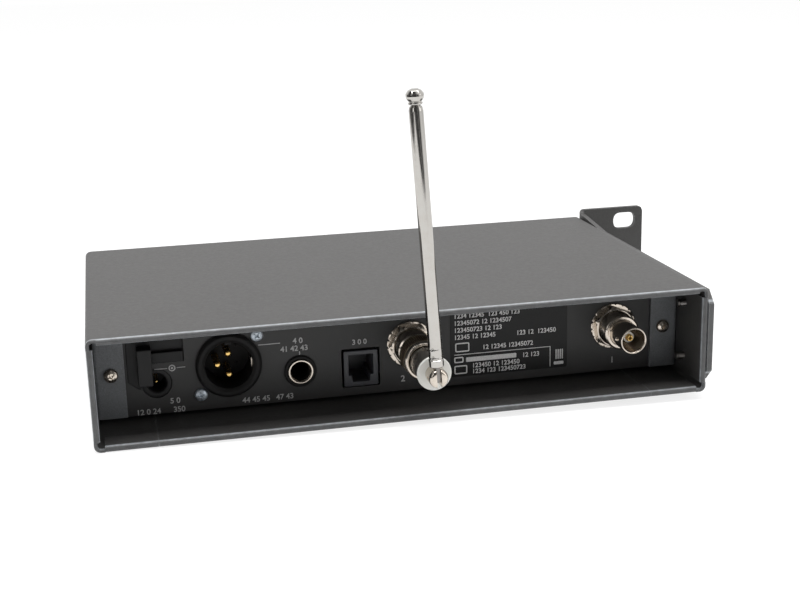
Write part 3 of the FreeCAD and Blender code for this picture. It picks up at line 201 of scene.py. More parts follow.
def satinPaint(name, level):
    finish = Finish(name, ior=1.48)
    fine = finish.noise(0.3, 3)
    dust = finish.patches(1.1, 0.62, 0.8, 5, rough=0.75)
    smears = finish.patches(22, 0.35, 0.75, 4, (1, 1, 2.2))
    base = finish.blend(smears, grey(level * 0.92, 0.01), grey(level * 1.14, 0.015))
    return finish.feed(
        baseColor=finish.blend(dust * 0.12, base, grey(0.3, 0.03)),
        roughness=0.44 + smears * 0.1 + fine * 0.06,
        normal=finish.relief(fine, 0.35, 0.03))


def moulded(name, colour, rough=0.42, grainSize=0.22, depth=0.02, shine=0.0, gloss=0.5):
    # injection moulding: spark-eroded grain, slight flow clouds and paler handled edges
    finish = Finish(name, ior=1.5, coatWeight=shine, coatRoughness=0.12, specularIorLevel=gloss)
    grain = finish.noise(grainSize, 2)
    flow = finish.noise(9, 3)
    paler = tuple(min(1, part * 1.6 + 0.012) for part in colour[:3]) + (1,)
    darker = tuple(part * 0.86 for part in colour[:3]) + (1,)
    body = finish.blend(flow, darker, colour)
    return finish.feed(
        baseColor=finish.blend(finish.edges(0.3) * 0.4, body, paler),
        roughness=rough - 0.05 + grain * 0.1,
        normal=finish.relief(grain, 0.4, depth))


# colour of the painted shade in the grooves between knurl ridges
grooveShadeColour = (0.3, 0.235, 0.165, 1)


def plated(name, colour, rough, tarnish, brushed=(1, 1, 1), tarnishColour=(0.34, 0.27, 0.2, 1), crest=0.0):
    # plated metal: turning marks, haze and dull spots; with a crest width, painted shade darkens the grooves and
    # flats, and the ridge crests keep the light colour as a painted highlight
    finish = Finish(name, metallic=1.0)
    haze = finish.patches(3.2, 0.4, 0.72, 4, rough=0.6)
    specks = finish.patches(0.55, 0.6, 0.75, 3, rough=0.7)
    lines = finish.noise(0.16, 2, brushed)
    dull = (haze * 0.6 + specks * 0.4) * tarnish
    shade = finish.blend(dull, colour, tarnishColour)
    if crest:
        shade = finish.blend(finish.edges(crest), grooveShadeColour, shade)
    return finish.feed(
        baseColor=shade,
        roughness=rough + haze * rough * 0.9 + lines * rough * 0.5,
        normal=finish.relief(lines, 0.25, 0.004))


def filmLabel(name):
    finish = Finish(name, ior=1.46, specularIorLevel=0.3)
    fine = finish.noise(0.25, 2)
    ripple = finish.noise(16, 2)
    return finish.feed(
        baseColor=finish.blend(fine, grey(0.006), grey(0.012, 0.01)),
        roughness=0.34 + ripple * 0.12,
        normal=finish.relief(ripple * 0.8 + fine * 0.2, 0.3, 0.05))


def printInk(name, level):
    # screen print: slightly starved at its edges, with pinholes
    finish = Finish(name, ior=1.45, roughness=0.55)
    patchy = finish.patches(0.35, 0.3, 0.62, 3, rough=0.7)
    return finish.feed(
        baseColor=finish.blend(patchy, grey(level * 0.72), grey(level * 1.05, 0.01)),
        roughness=0.5 + patchy * 0.12,
        normal=finish.relief(patchy, 0.2, 0.01))


def solderMask(name):
    finish = Finish(name, ior=1.5, coatWeight=0.35, coatRoughness=0.2)
    tracks = finish.ramp(finish.cells(2.3, (1, 0.35, 1)), [(0.1, 1), (0.22, 0)])
    copper = finish.patches(4, 0.45, 0.5)
    base = finish.blend(copper, (0.012, 0.075, 0.03, 1), (0.02, 0.12, 0.05, 1))
    return finish.feed(
        baseColor=finish.blend(tracks * 0.7, base, (0.06, 0.24, 0.11, 1)),
        roughness=0.3 + tracks * 0.15,
        normal=finish.relief(tracks + copper * 0.5, 0.4, 0.05))


def clearAcrylic(name):
    finish = Finish(name, ior=1.49, transmissionWeight=1.0)
    wipe = finish.noise(7, 4, (1, 1, 3))
    return finish.feed(
        baseColor=finish.blend(wipe, (0.72, 0.78, 0.8, 1), (0.8, 0.85, 0.87, 1)),
        roughness=0.03 + wipe * 0.05,
        normal=finish.relief(wipe, 0.08, 0.02))


def liquidCrystal(name):
    finish = Finish(name, ior=1.5, coatWeight=0.3, coatRoughness=0.1)
    dots = finish.ramp(finish.cells(0.55), [(0.2, 0), (0.4, 1)])
    glow = finish.noise(14, 1)
    base = finish.blend(glow, (0.2, 0.27, 0.16, 1), (0.3, 0.37, 0.24, 1))
    return finish.feed(
        baseColor=finish.blend(dots * 0.12, base, (0.12, 0.16, 0.1, 1)),
        roughness=0.22 + dots * 0.08,
        normal=finish.relief(dots, 0.1, 0.01))


finishes = {
    # the case paint carries the painted highlight along its rear hems
    "case_paint": powderPaint("casePaint", 0.042, 0.03, hem=0.9),
    "panel_paint": satinPaint("panelPaint", 0.034),
    "label_film": filmLabel("labelFilm"),
    "black_plastic": moulded("blackMoulding", (0.016, 0.016, 0.0165, 1), 0.44, gloss=0.25),
    "grey_plastic": moulded("greyMoulding", (0.05, 0.052, 0.06, 1), 0.36),
    "nickel": plated("warmNickel", (0.62, 0.56, 0.49, 1), 0.12, 0.45),
    "chrome": plated("polishedChrome", (0.5, 0.485, 0.46, 1), 0.06, 0.16, (1, 1, 0.05)),
    "zinc": plated("blueZinc", (0.6, 0.66, 0.72, 1), 0.34, 0.25),
    "gold": plated("goldContact", (0.86, 0.58, 0.2, 1), 0.16, 0.15, tarnishColour=(0.5, 0.3, 0.08, 1)),
    "ptfe": moulded("whiteInsulator", (0.78, 0.78, 0.74, 1), 0.38),
    "circuit_board": solderMask("solderMask"),
    "tinplate": plated("tinnedSteel", (0.6, 0.61, 0.62, 1), 0.2, 0.25),
    "capacitor_sleeve": moulded("capacitorSleeve", (0.02, 0.025, 0.09, 1), 0.25, shine=0.4),
    "heat_sink": moulded("blackAnodising", (0.03, 0.03, 0.033, 1), 0.5),
    "fascia_plastic": moulded("fasciaMoulding", (0.06, 0.06, 0.062, 1), 0.42, 0.35, 0.03),
    "key_plastic": moulded("keyMoulding", (0.2, 0.205, 0.21, 1), 0.4, 0.3),
    "window_acrylic": clearAcrylic("clearWindow"),
    "lcd": liquidCrystal("crystalPanel"),
}
# finishes for single pieces whose slot would look wrong, some of them lit or shaded copies that carry painted
# light or shade
# lighter, bluish copy of the case paint: painted light for the brackets, which wear the same paint as the case
bracketPaintLit = powderPaint("bracketPaintLit", 0.14, -0.05, 0.34, edgeWear=0.2)
deepBlack = moulded("deepBlackMoulding", (0.016, 0.0155, 0.0155, 1), 0.46, 0.25, gloss=0.14)
darkChrome = plated("darkChrome", (0.42, 0.4, 0.37, 1), 0.2, 0.25, (1, 0.1, 1))
# brighter nickel for the knurl: its crests keep this colour as a painted highlight, and the grooves take painted
# shade
knurlNickelShaded = plated("knurlNickelShaded", (0.9, 0.8, 0.66, 1), 0.36, 0.4, crest=0.16)
# darkened copy of the nickel, painted shade for parts that sit in shade: the mast foot's tongue in its slot and
# the ear screws in the recess
shadedNickel = plated("shadedNickel", (0.24, 0.23, 0.22, 1), 0.22, 0.3)
panelInk = printInk("panelInk", 0.5)
labelInk = printInk("labelInk", 0.78)
displayInk = printInk("displayInk", 0.03)
print("finishes made:", len(finishes) + 8)


def corners(node):
    low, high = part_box(node)
    return low / mm, high / mm


def middle(node):
    low, high = corners(node)
    return (low + high) / 2


def soften(points, radius, closed=False, parts=3):
    # rounds the corners of a flat line; a third number on a point is that corner's own radius
    result = []
    count = len(points)
    for index, point in enumerate(points):
        here = Vector(point[:2])
        wanted = point[2] if len(point) > 2 else radius
        if wanted == 0 or (not closed and index in (0, count - 1)):
            result.append(tuple(here))
            continue
        back = Vector(points[index - 1][:2]) - here
        ahead = Vector(points[(index + 1) % count][:2]) - here
        turn = math.pi - back.angle(ahead)
        if turn < 0.09:
            result.append(tuple(here))
            continue
        reach = min(wanted * math.tan(turn / 2), back.length * 0.48, ahead.length * 0.48)
        first = here + back.normalized() * reach
        last = here + ahead.normalized() * reach
        for part in range(parts + 1):
            share = part / parts
            result.append(tuple(first.lerp(here, share).lerp(here.lerp(last, share), share)))
    return result


def ringOf(radius, count, centre):
    turns = [math.tau * step / count for step in range(count)]
    return [(centre[0] + radius * math.cos(turn), centre[1] + radius * math.sin(turn)) for turn in turns]


def oblong(low, high, radius=0.3, parts=3):
    # an outline with rounded corners, from its lowest to its highest corner
    points = [(low[0], low[1]), (high[0], low[1]), (high[0], high[1]), (low[0], high[1])]
    return soften(points, radius, True, parts)


def standing(outline, y):
    # an outline in x and z, stood up at y
    return [(x, y, z) for x, z in outline]


weld = 0.0008      # points closer than this become one


def tidyMesh(shape):
    bmesh.ops.remove_doubles(shape, verts=shape.verts, dist=weld * mm)
    bmesh.ops.dissolve_degenerate(shape, edges=shape.edges, dist=weld * mm * 0.5)
    bmesh.ops.recalc_face_normals(shape, faces=shape.faces)
    mesh = bpy.data.meshes.new("shape")
    shape.to_mesh(mesh)
    shape.free()
    return mesh


def loft(rings, around=False, ends=True):
    # skins a row of matching closed loops, in millimetres; around joins the last loop to the first
    shape = bmesh.new()
    rows = [[shape.verts.new(Vector(point) * mm) for point in ring] for ring in rings]
    count = len(rows[0])
    pairs = list(zip(rows, rows[1:])) + ([(rows[-1], rows[0])] if around else [])
    for near, far in pairs:
        for step in range(count):
            following = (step + 1) % count
            shape.faces.new((near[step], near[following], far[following], far[step]))
    if ends and not around:
        shape.faces.new(rows[0][::-1])
        shape.faces.new(rows[-1])
    return tidyMesh(shape)


def frameOf(axis):
    along = Vector(axis).normalized()
    side = xAxis if abs(along.x) < 0.9 else yAxis
    side = (side - along * side.dot(along)).normalized()
    return along, side, along.cross(side)


def lathe(profile, base, axis, count=64, closed=False, shape=None):
    # turns (along, radius) pairs about an axis; shape(angle, along, radius) may change the radius
    along, side, up = frameOf(axis)
    rings = []
    for place, radius in profile:
        ring = []
        for step in range(count):
            angle = math.tau * step / count
            reach = shape(angle, place, radius) if shape and radius > 0 else radius
            outward = side * math.cos(angle) + up * math.sin(angle)
            ring.append(Vector(base) + along * place + outward * reach)
        rings.append(ring)
    openEnds = not closed and profile[0][1] > 0.001 and profile[-1][1] > 0.001
    return loft(rings, closed, openEnds)


def plate(outline, holes, thickness, edge, spot, across, upward):
    # flat sheet with holes and rounded edges; its low face is at spot, and it grows along across x upward
    curve = bpy.data.curves.new("plate", "CURVE")
    curve.dimensions = "2D"
    curve.fill_mode = "BOTH"
    curve.extrude = (thickness / 2 - edge) * mm
    curve.bevel_depth = edge * mm
    curve.offset = -edge * mm
    curve.bevel_resolution = 2
    for loop in [outline, *holes]:
        spline = curve.splines.new("POLY")
        spline.points.add(len(loop) - 1)
        for point, (x, y) in zip(spline.points, loop):
            point.co = (x * mm, y * mm, 0, 1)
        spline.use_cyclic_u = True
    holder = bpy.data.objects.new("plate", curve)
    scene.collection.objects.link(holder)
    across, upward = Vector(across), Vector(upward)
    outward = across.cross(upward)
    centre = Vector(spot) + outward * (thickness / 2)
    turn = Matrix((across, upward, outward)).transposed().to_4x4()
    flat = bpy.data.meshes.new_from_object(holder.evaluated_get(bpy.context.evaluated_depsgraph_get()))
    bpy.data.objects.remove(holder)
    shape = bmesh.new()
    shape.from_mesh(flat)
    bmesh.ops.transform(shape, matrix=Matrix.Translation(centre * mm) @ turn, verts=shape.verts)
    return tidyMesh(shape)


def panelPlate(outline, holes, low, high, edge=0.15):
    # a plate that stands across the case; outlines are in x and z, and it fills y from low to high
    flipped = [[(-x, z) for x, z in loop] for loop in [outline, *holes]]
    return plate(flipped[0], flipped[1:], high - low, edge, (0, low, 0), (-1, 0, 0), (0, 0, 1))


def block(low, high, edge=0.2, parts=2):
    # a moulded block with all its edges rounded
    shape = bmesh.new()
    size = Vector(high) - Vector(low)
    centre = (Vector(high) + Vector(low)) / 2
    bmesh.ops.create_cube(shape, size=1)
    bmesh.ops.scale(shape, vec=size * mm, verts=shape.verts)
    bmesh.ops.translate(shape, vec=centre * mm, verts=shape.verts)
    bmesh.ops.bevel(shape, geom=shape.edges[:], offset=edge * mm, segments=parts, profile=0.5, affect="EDGES")
    return tidyMesh(shape)


def joined(*meshes):
    # several closed shapes in one piece
    shape = bmesh.new()
    for mesh in meshes:
        shape.from_mesh(mesh)
    result = bpy.data.meshes.new("shape")
    shape.to_mesh(result)
    shape.free()
    return result


def combine(mesh, tools, operation="DIFFERENCE"):
    # cuts the tools out of a shape, or melts them into it
    holder = bpy.data.objects.new("holder", mesh)
    scene.collection.objects.link(holder)
    helpers = []
    for tool in tools:
        helper = bpy.data.objects.new("helper", tool)
        scene.collection.objects.link(helper)
        step = holder.modifiers.new("step", "BOOLEAN")
        step.operation = operation
        step.solver = "EXACT"
        step.object = helper
        helpers.append(helper)
    graph = bpy.context.evaluated_depsgraph_get()
    result = bpy.data.meshes.new_from_object(holder.evaluated_get(graph))
    for helper in [holder, *helpers]:
        bpy.data.objects.remove(helper)
    return result


def rod(start, end, radius, count=32):
    start, end = Vector(start), Vector(end)
    length = (end - start).length
    return lathe([(0, 0), (0, radius), (length, radius), (length, 0)], start, end - start, count)


def turned(mesh, centre, axis, degrees):
    spot = Vector(centre) * mm
    spin = Matrix.Rotation(math.radians(degrees), 4, axis)
    mesh.transform(Matrix.Translation(spot) @ spin @ Matrix.Translation(-spot))
    return mesh


def settle(name, mesh, body, slot, nodes=(), finish=None):
    # names a finished shape, hangs it on its body and hides the CAD nodes that it stands for
    mesh.name = name
    piece = bpy.data.objects.new(name, mesh)
    scene.collection.objects.link(piece)
    mesh.materials.clear()
    mesh.materials.append(finish or finishes[slot])
    mesh.shade_smooth()
    mesh.set_sharp_from_angle(angle=math.radians(32))
    fair = piece.modifiers.new("fair", "WEIGHTED_NORMAL")
    fair.keep_sharp = True
    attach(piece, body)
    if nodes:
        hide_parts(*nodes)


caseSheet = {
    "gauge": 1.2,          # steel sheet
    "hemLayer": 0.9,       # folded-back layer at the rear edge
    "hemDepth": 9.0,
    "fold": 2.2,           # outside radius of the long folds
    "hemStop": 3.5,        # the hem ends this far before each fold
    "joggle": 8.0,         # raised lip on each side of the bottom plate
    "lipEnds": (4, 32.5),  # where the lips start behind its front edge, and where they end
    "seam": 0.06,          # gap between the sleeve and the bottom plate
    "screwHole": 1.5, "tappedHole": 1.25,
    "countersink": [(-0.5, 0), (-0.5, 3.25), (0, 3.0), (1.2, 1.8), (1.7, 1.8), (1.7, 0)],
    "screwSpots": [(89.4, -53.0), (89.4, 26.0)],
    "sideSpots": [(48.0, 8.6), (48.0, 28.5), (-48.0, 8.6), (-48.0, 28.5)],
}


def sheetSection(rear, front, gauge, layer, depth, hemmed):
    # closed outline of the sheet's edge in y and depth below the outer skin
    turns = 8
    thick = (gauge + layer) if hemmed else gauge
    bead = thick / 2
    points = [(front + 0.35, 0.0), (front + 3, 0.0), (rear - depth - 2, 0.0)]
    for step in range(turns + 1):
        turn = math.pi * step / turns
        points.append((rear - bead + bead * math.sin(turn), bead - bead * math.cos(turn)))
    points.append((rear - depth + 0.25, thick))
    points.append((rear - depth, thick - (0.25 if hemmed else 0)))
    points.append((rear - depth, gauge))
    points += [(front + 3, gauge), (front + 0.35, gauge), (front, gauge - 0.35), (front, 0.35)]
    return points


def foldedPath(path, fold, stops, turns=6):
    # stations along a folded sheet: place, outward direction, and whether the hem is there
    stations = []
    last = len(path) - 1
    for index in range(last):
        start, end = Vector(path[index]), Vector(path[index + 1])
        way = (end - start).normalized()
        outward = Vector((way.y, -way.x))
        length = (end - start).length
        first = fold if index > 0 else 0.0
        final = length - (fold if index < last - 1 else 0.0)
        hemStart = stops if index > 0 else 0.0
        hemEnd = length - (stops if index < last - 1 else 0.0)
        marks = [(first, False), (hemStart, False), (hemStart, True), (hemEnd, True), (hemEnd, False),
                 (final, False)]
        if index == 0:
            marks = marks[2:]
        if index == last - 1:
            marks = marks[:4]
        stations += [(start + way * mark, outward, hemmed) for mark, hemmed in marks]
        if index < last - 1:
            nextWay = (Vector(path[index + 2]) - end).normalized()
            nextOut = Vector((nextWay.y, -nextWay.x))
            centre = end - way * fold + nextWay * fold
            for step in range(1, turns):
                turn = math.pi / 2 * step / turns
                direction = outward * math.cos(turn) + nextOut * math.sin(turn)
                stations.append((centre + direction * fold, direction, False))
    return stations


def foldCase():
    s = caseSheet
    low, high = corners("case_sleeve")
    edge = corners("bottom_plate")[1].x - s["joggle"]
    path = [(edge, low.z), (high.x, low.z), (high.x, high.z), (low.x, high.z), (low.x, low.z), (-edge, low.z)]
    rings = []
    for spot, outward, hemmed in foldedPath(path, s["fold"], s["hemStop"]):
        section = sheetSection(high.y, low.y, s["gauge"], s["hemLayer"], s["hemDepth"], hemmed)
        rings.append([(spot.x - outward.x * depth, y, spot.y - outward.y * depth) for y, depth in section])
    tools = []
    for x, y in s["screwSpots"]:
        for side in (-1, 1):
            tools.append(lathe(s["countersink"], (side * x, y, 0), zAxis, 32))
    for y, z in s["sideSpots"]:
        tools.append(rod((high.x - 3, y, z), (high.x + 1, y, z), s["tappedHole"], 24))
        tools.append(rod((low.x - 1, y, z), (low.x + 3, y, z), s["screwHole"], 24))
    settle("caseSleeve", combine(loft(rings), tools), "case", "case_paint", ["case_sleeve"])


def foldBottom():
    s = caseSheet
    low, high = corners("bottom_plate")
    wide = high.x - s["joggle"] - s["seam"]
    section = sheetSection(high.y, low.y, s["gauge"], s["hemLayer"], s["hemDepth"], True)
    tray = loft([[(x, y, depth) for y, depth in section] for x in (-wide, -wide + 0.3, wide - 0.3, wide)])
    strips = []
    for side in (-1, 1):
        line = [(side * (wide - 1.5), 1.25), (side * (wide - 1.5), 2.4), (side * high.x, 2.4),
                (side * high.x, 1.25)]
        line = soften(line, 0.25, True)
        lip = loft([standing(line, y) for y in (low.y + s["lipEnds"][0], s["lipEnds"][1])])
        holes = [rod((side * x, y, 0), (side * x, y, 4), s["screwHole"], 24) for x, y in s["screwSpots"]]
        strips.append(combine(lip, holes))
    settle("bottomPlate", joined(tray, *strips), "case", "case_paint", ["bottom_plate"])


panelBracket = {"gauge": 1.5, "bend": 1.6, "screwHole": 1.6, "screwInset": 2.5}


def bentSheet(path, low, high, gauge, bend):
    # a bent strip of even height; it lies on the left of its path
    line = soften([(x, y, bend) for x, y in path], bend, parts=6)
    rings = []
    for index, spot in enumerate(line):
        ahead = Vector(line[min(index + 1, len(line) - 1)]) - Vector(line[max(index - 1, 0)])
        left = Vector((-ahead.y, ahead.x)).normalized()
        section = oblong((0, low), (gauge, high), 0.15, 2)
        rings.append([(spot[0] + left.x * depth, spot[1] + left.y * depth, z) for depth, z in section])
    return loft(rings)


def bendBrackets():
    s = panelBracket
    screws = corners("panel_screws")
    z = middle("panel_screws").z
    for word, side in (("Left", -1), ("Right", 1)):
        name = word.lower() + "_panel_bracket"
        x = screws[side > 0].x - side * s["screwInset"]
        low, high = corners(name)
        wall, tip = (low.x, high.x) if side < 0 else (high.x, low.x)
        path = [(wall, low.y), (wall, high.y), (tip, high.y)]
        mesh = bentSheet(path[::side], low.z, high.z, s["gauge"], s["bend"])
        hole = rod((x, high.y - 3, z), (x, high.y + 1, z), s["screwHole"], 24)
        settle("panelBracket" + word, combine(mesh, [hole]), "case", "case_paint", [name], bracketPaintLit)


rackEar = {
    "gauge": 2.0, "corner": 2.0,
    "slotLength": 10.0, "slotWidth": 7.0, "slotPitch": 31.75, "slotX": -126.8, "screwHole": 1.6,
    "neck": 5.0, "neckDrop": 1.5,      # the full height reaches this far along the case, less this drop
    "ramp": 28.0, "bevel": 4.2, "stripLow": 3.4, "stripHigh": 36.5,
}


def earSkin(low, high):
    # the flange across the front and the strip along the case, as one skin round the bend
    s = rackEar
    gauge, corner, give = s["gauge"], s["corner"], s["neckDrop"]
    wall, front, rear = high.x, low.y, high.y
    flange = ((low.x, corner), (low.x + 0.6, 0.57), (low.x + corner, 0), (wall - gauge - 4, 0))
    stations = [(Vector((x, front)), Vector((0, 1)), low.z + cut, high.z - cut) for x, cut in flange]
    outerBend = gauge + 0.2
    centre = Vector((wall - gauge - 0.2, front + outerBend))
    turns = 8
    for step in range(turns + 1):
        turn = math.pi / 2 * step / turns
        direction = Vector((math.sin(turn), -math.cos(turn)))
        drop = give * (step / turns) ** 1.5
        stations.append((centre + direction * outerBend, -direction, low.z + drop, high.z - drop))
    strip = ((front + 2 + s["neck"], low.z + give + 0.4, high.z - give - 0.4),
             (front + 2 + s["ramp"], s["stripLow"], s["stripHigh"]),
             (rear - s["bevel"], s["stripLow"], s["stripHigh"]),
             (rear, s["stripLow"] + s["bevel"], s["stripHigh"] - s["bevel"]))
    stations += [(Vector((wall, y)), Vector((-1, 0)), lowZ, highZ) for y, lowZ, highZ in strip]
    rings = []
    for spot, inward, lowZ, highZ in stations:
        section = oblong((0, lowZ), (gauge, highZ), 0.3, 2)
        rings.append([(spot.x + inward.x * depth, spot.y + inward.y * depth, z) for depth, z in section])
    return loft(rings)


def bendEar():
    s = rackEar
    low, high = corners("rack_ear")
    reach, wide = s["slotLength"] / 2, s["slotWidth"] / 2
    tools = []
    for side in (-1, 1):
        z = (low.z + high.z) / 2 + side * s["slotPitch"] / 2
        slot = oblong((s["slotX"] - reach, z - wide), (s["slotX"] + reach, z + wide), wide * 0.999, 8)
        tools.append(panelPlate(slot, [], low.y - 1, low.y + 3, 0.01))
    for y, z in caseSheet["sideSpots"]:
        tools.append(rod((high.x - 3, y, z), (high.x + 1, y, z), s["screwHole"], 24))
    settle("rackEar", combine(earSkin(low, high), tools), "case", "case_paint", ["rack_ear"])


foldCase()
foldBottom()
bendBrackets()
bendEar()
print("case, brackets and ear folded")


rearPanel = {
    "threadHole": 6.45, "connectorHole": 10.2, "roundHole": 5.15, "screwHole": 1.5, "screwInset": 2.3,
    "dataGap": 0.7, "hookHole": ((1.5, 8.6), (3.4, 1.5)),      # inside the hook's lowest and highest corner
}


def pressPanel():
    s = rearPanel
    low, high = corners("rear_panel")
    jack, power = middle("jack_ferrule"), middle("power_inlet")
    screwLow, screwHigh = corners("xlr_screws")
    sockets = [middle(f"antenna_{number}_socket_shell") for number in (1, 2)]
    rounds = [(spot.x, spot.z, s["threadHole"], 48) for spot in sockets]
    rounds += [
        (middle("xlr_screws").x, middle("xlr_pins").z, s["connectorHole"], 72),
        (jack.x, jack.z, s["roundHole"], 48), (power.x, middle("power_inlet_pin").z, s["roundHole"], 48),
        (screwHigh.x - s["screwInset"], screwLow.z + s["screwInset"], s["screwHole"], 24),
        (screwLow.x + s["screwInset"], screwHigh.z - s["screwInset"], s["screwHole"], 24),
    ]
    holes = [ringOf(radius, count, (x, z)) for x, z, radius, count in rounds]
    dataLow, dataHigh = corners("data_socket")
    gap = s["dataGap"]
    foot = (dataLow.x - gap, dataLow.z + 0.5 - gap * 0.5)
    holes.append(oblong(foot, (dataHigh.x + gap, dataHigh.z + gap), 0.6))
    hookLow, hookHigh = corners("cord_hook")
    (left, bottom), (right, top) = s["hookHole"]
    holes.append(oblong((hookLow.x + left, hookLow.z + bottom), (hookHigh.x - right, hookHigh.z - top), 0.5))
    sheet = panelPlate(oblong((low.x, low.z), (high.x, high.z), 0.5), holes, low.y, high.y, 0.12)
    settle("rearPanel", sheet, "case", "panel_paint", ["rear_panel"])


socketPrint = {
    "ink": 0.035,           # thickness of the print
    "figures": [            # part beside it, figures, left end seen from behind, foot, height
        ("power_inlet", "12 0 24", 7.6, -9.2, 1.9), ("power_inlet", "350", -4.9, -9.2, 1.9),
        ("power_inlet", "5 0", -4.0, -6.0, 1.9),
        ("jack_ferrule", "4 0", 2.2, 10.1, 1.9), ("jack_ferrule", "41 42 43", 6.6, 7.4, 1.9),
        ("jack_ferrule", "44 45 45", 20.6, -9.7, 1.9), ("jack_ferrule", "47 43", 8.9, -9.7, 1.9),
        ("data_socket", "3 0 0", 2.9, 9.0, 1.8),
        ("antenna_1_socket_nut", "1", 0.8, -14.0, 2.2), ("antenna_2_socket_nut", "2", 3.8, -13.6, 2.2),
    ],
    "bars": [               # part beside it, left, right, foot, top
        ("jack_ferrule", -0.17, 0.17, 5.9, 7.1), ("xlr_screws", -18.0, -10.4, 5.9, 6.2),
        ("power_inlet", -9.9, -7.0, 6.48, 6.72), ("power_inlet", -3.8, 0.6, 6.48, 6.72),
    ],
    "pinMark": (-5.4, 6.6),     # ring and dot beside the inlet
}


def inkShape(outline, holes, face):
    return panelPlate(outline, holes, face, face + socketPrint["ink"], 0.008)


def inkBar(left, right, low, high, face):
    return inkShape(oblong((left, low), (right, high), 0.3, 2), [], face)


def inkDigits(text, right, low, height, face):
    # plain numbers, read from the rear, so they run towards -x
    letters = bpy.data.curves.new("digit", "FONT")
    letters.body = text
    letters.size = height * mm / 0.7
    letters.extrude = socketPrint["ink"] / 2 * mm
    letters.offset = height * 0.028 * mm
    letters.align_x = "LEFT"
    holder = bpy.data.objects.new("digit", letters)
    scene.collection.objects.link(holder)
    mesh = bpy.data.meshes.new_from_object(holder.evaluated_get(bpy.context.evaluated_depsgraph_get()))
    bpy.data.objects.remove(holder)
    depth = face + socketPrint["ink"] / 2
    mesh.transform(Matrix(((-1, 0, 0, right * mm), (0, 0, 1, depth * mm), (0, 1, 0, low * mm), (0, 0, 0, 1))))
    return mesh


def printPanel():
    s = socketPrint
    face = corners("rear_panel")[1].y
    meshes = []
    for node, text, left, foot, height in s["figures"]:
        spot = middle(node)
        meshes.append(inkDigits(text, spot.x + left, spot.z + foot, height, face))
    for node, left, right, foot, top in s["bars"]:
        spot = middle(node)
        meshes.append(inkBar(spot.x + left, spot.x + right, spot.z + foot, spot.z + top, face))
    power = middle("power_inlet")
    spot = (power.x + s["pinMark"][0], power.z + s["pinMark"][1])
    meshes.append(inkShape(ringOf(1.15, 32, spot), [ringOf(0.8, 32, spot)], face))
    meshes.append(inkShape(ringOf(0.4, 24, spot), [], face))
    settle("panelPrint", joined(*meshes), "case", "panel_paint", finish=panelInk)


typeLabel = {
    "corner": 0.6, "figure": 1.65, "frameLine": 0.45,
    # starts and ends are shares of the label's width from its left end; the rest is above its foot
    "rows": [               # foot, start, plain figures
        (24.5, 0.03, "1234 123450723 12345072 12 123"), (21.7, 0.03, "1234 12345  123 450 123"),
        (19.1, 0.03, "12345072 12 1234507"), (16.5, 0.03, "123450723 12 123"), (13.9, 0.03, "12345 12 12345"),
        (13.7, 0.56, "123 12  123450"), (9.5, 0.27, "12 12345 12345072"), (5.2, 0.61, "12 123"),
        (3.0, 0.18, "123450 12 123450"), (0.8, 0.18, "1234 123 123450723"),
    ],
    "shapes": [             # start, end, millimetres past its end, foot, top, only a frame or not
        (0.03, 0.85, 0, 8.1, 8.35, False), (0.85, 0.85, 0.25, 0.6, 8.35, False),
        (0.13, 0.56, 0, 5.3, 7.0, False),
        (0.03, 0.11, 0, 5.2, 7.4, True), (0.03, 0.14, 0, 1.0, 4.2, True), (0.04, 0.16, 0, 9.2, 12.6, True),
        (0.885, 0.97, 0, 1.2, 2.4, False),
        *[(0.9 + 0.018 * step, 0.9 + 0.018 * step, 0.45, 3.2, 7.0, False) for step in range(4)],
    ],
}


def stickLabel():
    s = typeLabel
    low, high = corners("type_label")
    film = panelPlate(oblong((low.x, low.z), (high.x, high.z), s["corner"]), [], low.y, high.y, 0.04)
    settle("typeLabel", film, "case", "label_film", ["type_label"])
    at, foot, face, wide = high.x, low.z, high.y, high.x - low.x
    inked = []
    for rise, start, text in s["rows"]:
        inked.append(inkDigits(text, at - wide * start, foot + rise, s["figure"], face))
    line = s["frameLine"]
    for start, end, past, rise, reach, framed in s["shapes"]:
        left, right, bottom, top = at - wide * end - past, at - wide * start, foot + rise, foot + reach
        if framed:
            hole = oblong((left + line, bottom + line), (right - line, top - line), 0.3)
            inked.append(inkShape(oblong((left, bottom), (right, top), 0.6), [hole], face))
        else:
            inked.append(inkBar(left, right, bottom, top, face))
    settle("labelPrint", joined(*inked), "case", "label_film", finish=labelInk)


cordHook = {
    "edge": 0.35, "back": 1.5,
    "step": 3.4, "arm": 4.9,           # the side plate's width past the arm, and the arm's own width
    "barLow": 11.1, "barHigh": 7.3,    # the catch bar, below the hook's top
    "tongue": 1.7,
}


def mouldHook():
    s = cordHook
    low, high = corners("cord_hook")
    step, barLow, barHigh = high.x - s["step"], high.z - s["barLow"], high.z - s["barHigh"]
    inner, shoulder = step - s["arm"], high.z - s["back"]
    face = corners("rear_panel")[1].y
    e = s["edge"]
    back = block((low.x, low.y, barLow - 1.5), (high.x, low.y + s["back"], high.z), e)
    outline = soften([(step - 1, shoulder), (high.x, shoulder), (high.x, low.z + 2.7), (step, low.z),
                      (step - 1, low.z)], 0.3, True)
    side = panelPlate(outline, [], face, face + 1.0, 0.25)
    catch = block((low.x + 1.75, low.y, barLow), (step, face + 0.6, barHigh), e)
    arm = block((inner, low.y + 1.2, barHigh - 0.6), (step, high.y, high.z - 4.3), e)
    tongue = block((inner, high.y - s["tongue"], low.z + 2.5), (step, high.y, high.z - 4.3), e + 0.05, 3)
    link = block((inner, low.y + 1.2, barHigh - 0.6), (step, face + 1.0, shoulder), e)
    mesh = combine(back, [side, catch, arm, tongue, link], "UNION")
    settle("cordHook", mesh, "case", "black_plastic", ["cord_hook"])


roundSockets = {
    "inlet": {"nose": 5.05, "bore": 3.2, "depth": 11.0},
    "output": {"neck": 10.1, "rim": 11.35, "bore": 8.2, "depth": 12.0, "proud": 2.0, "pin": 1.2},
    "jack": {"rim": 5.65, "hole": 3.25},
}


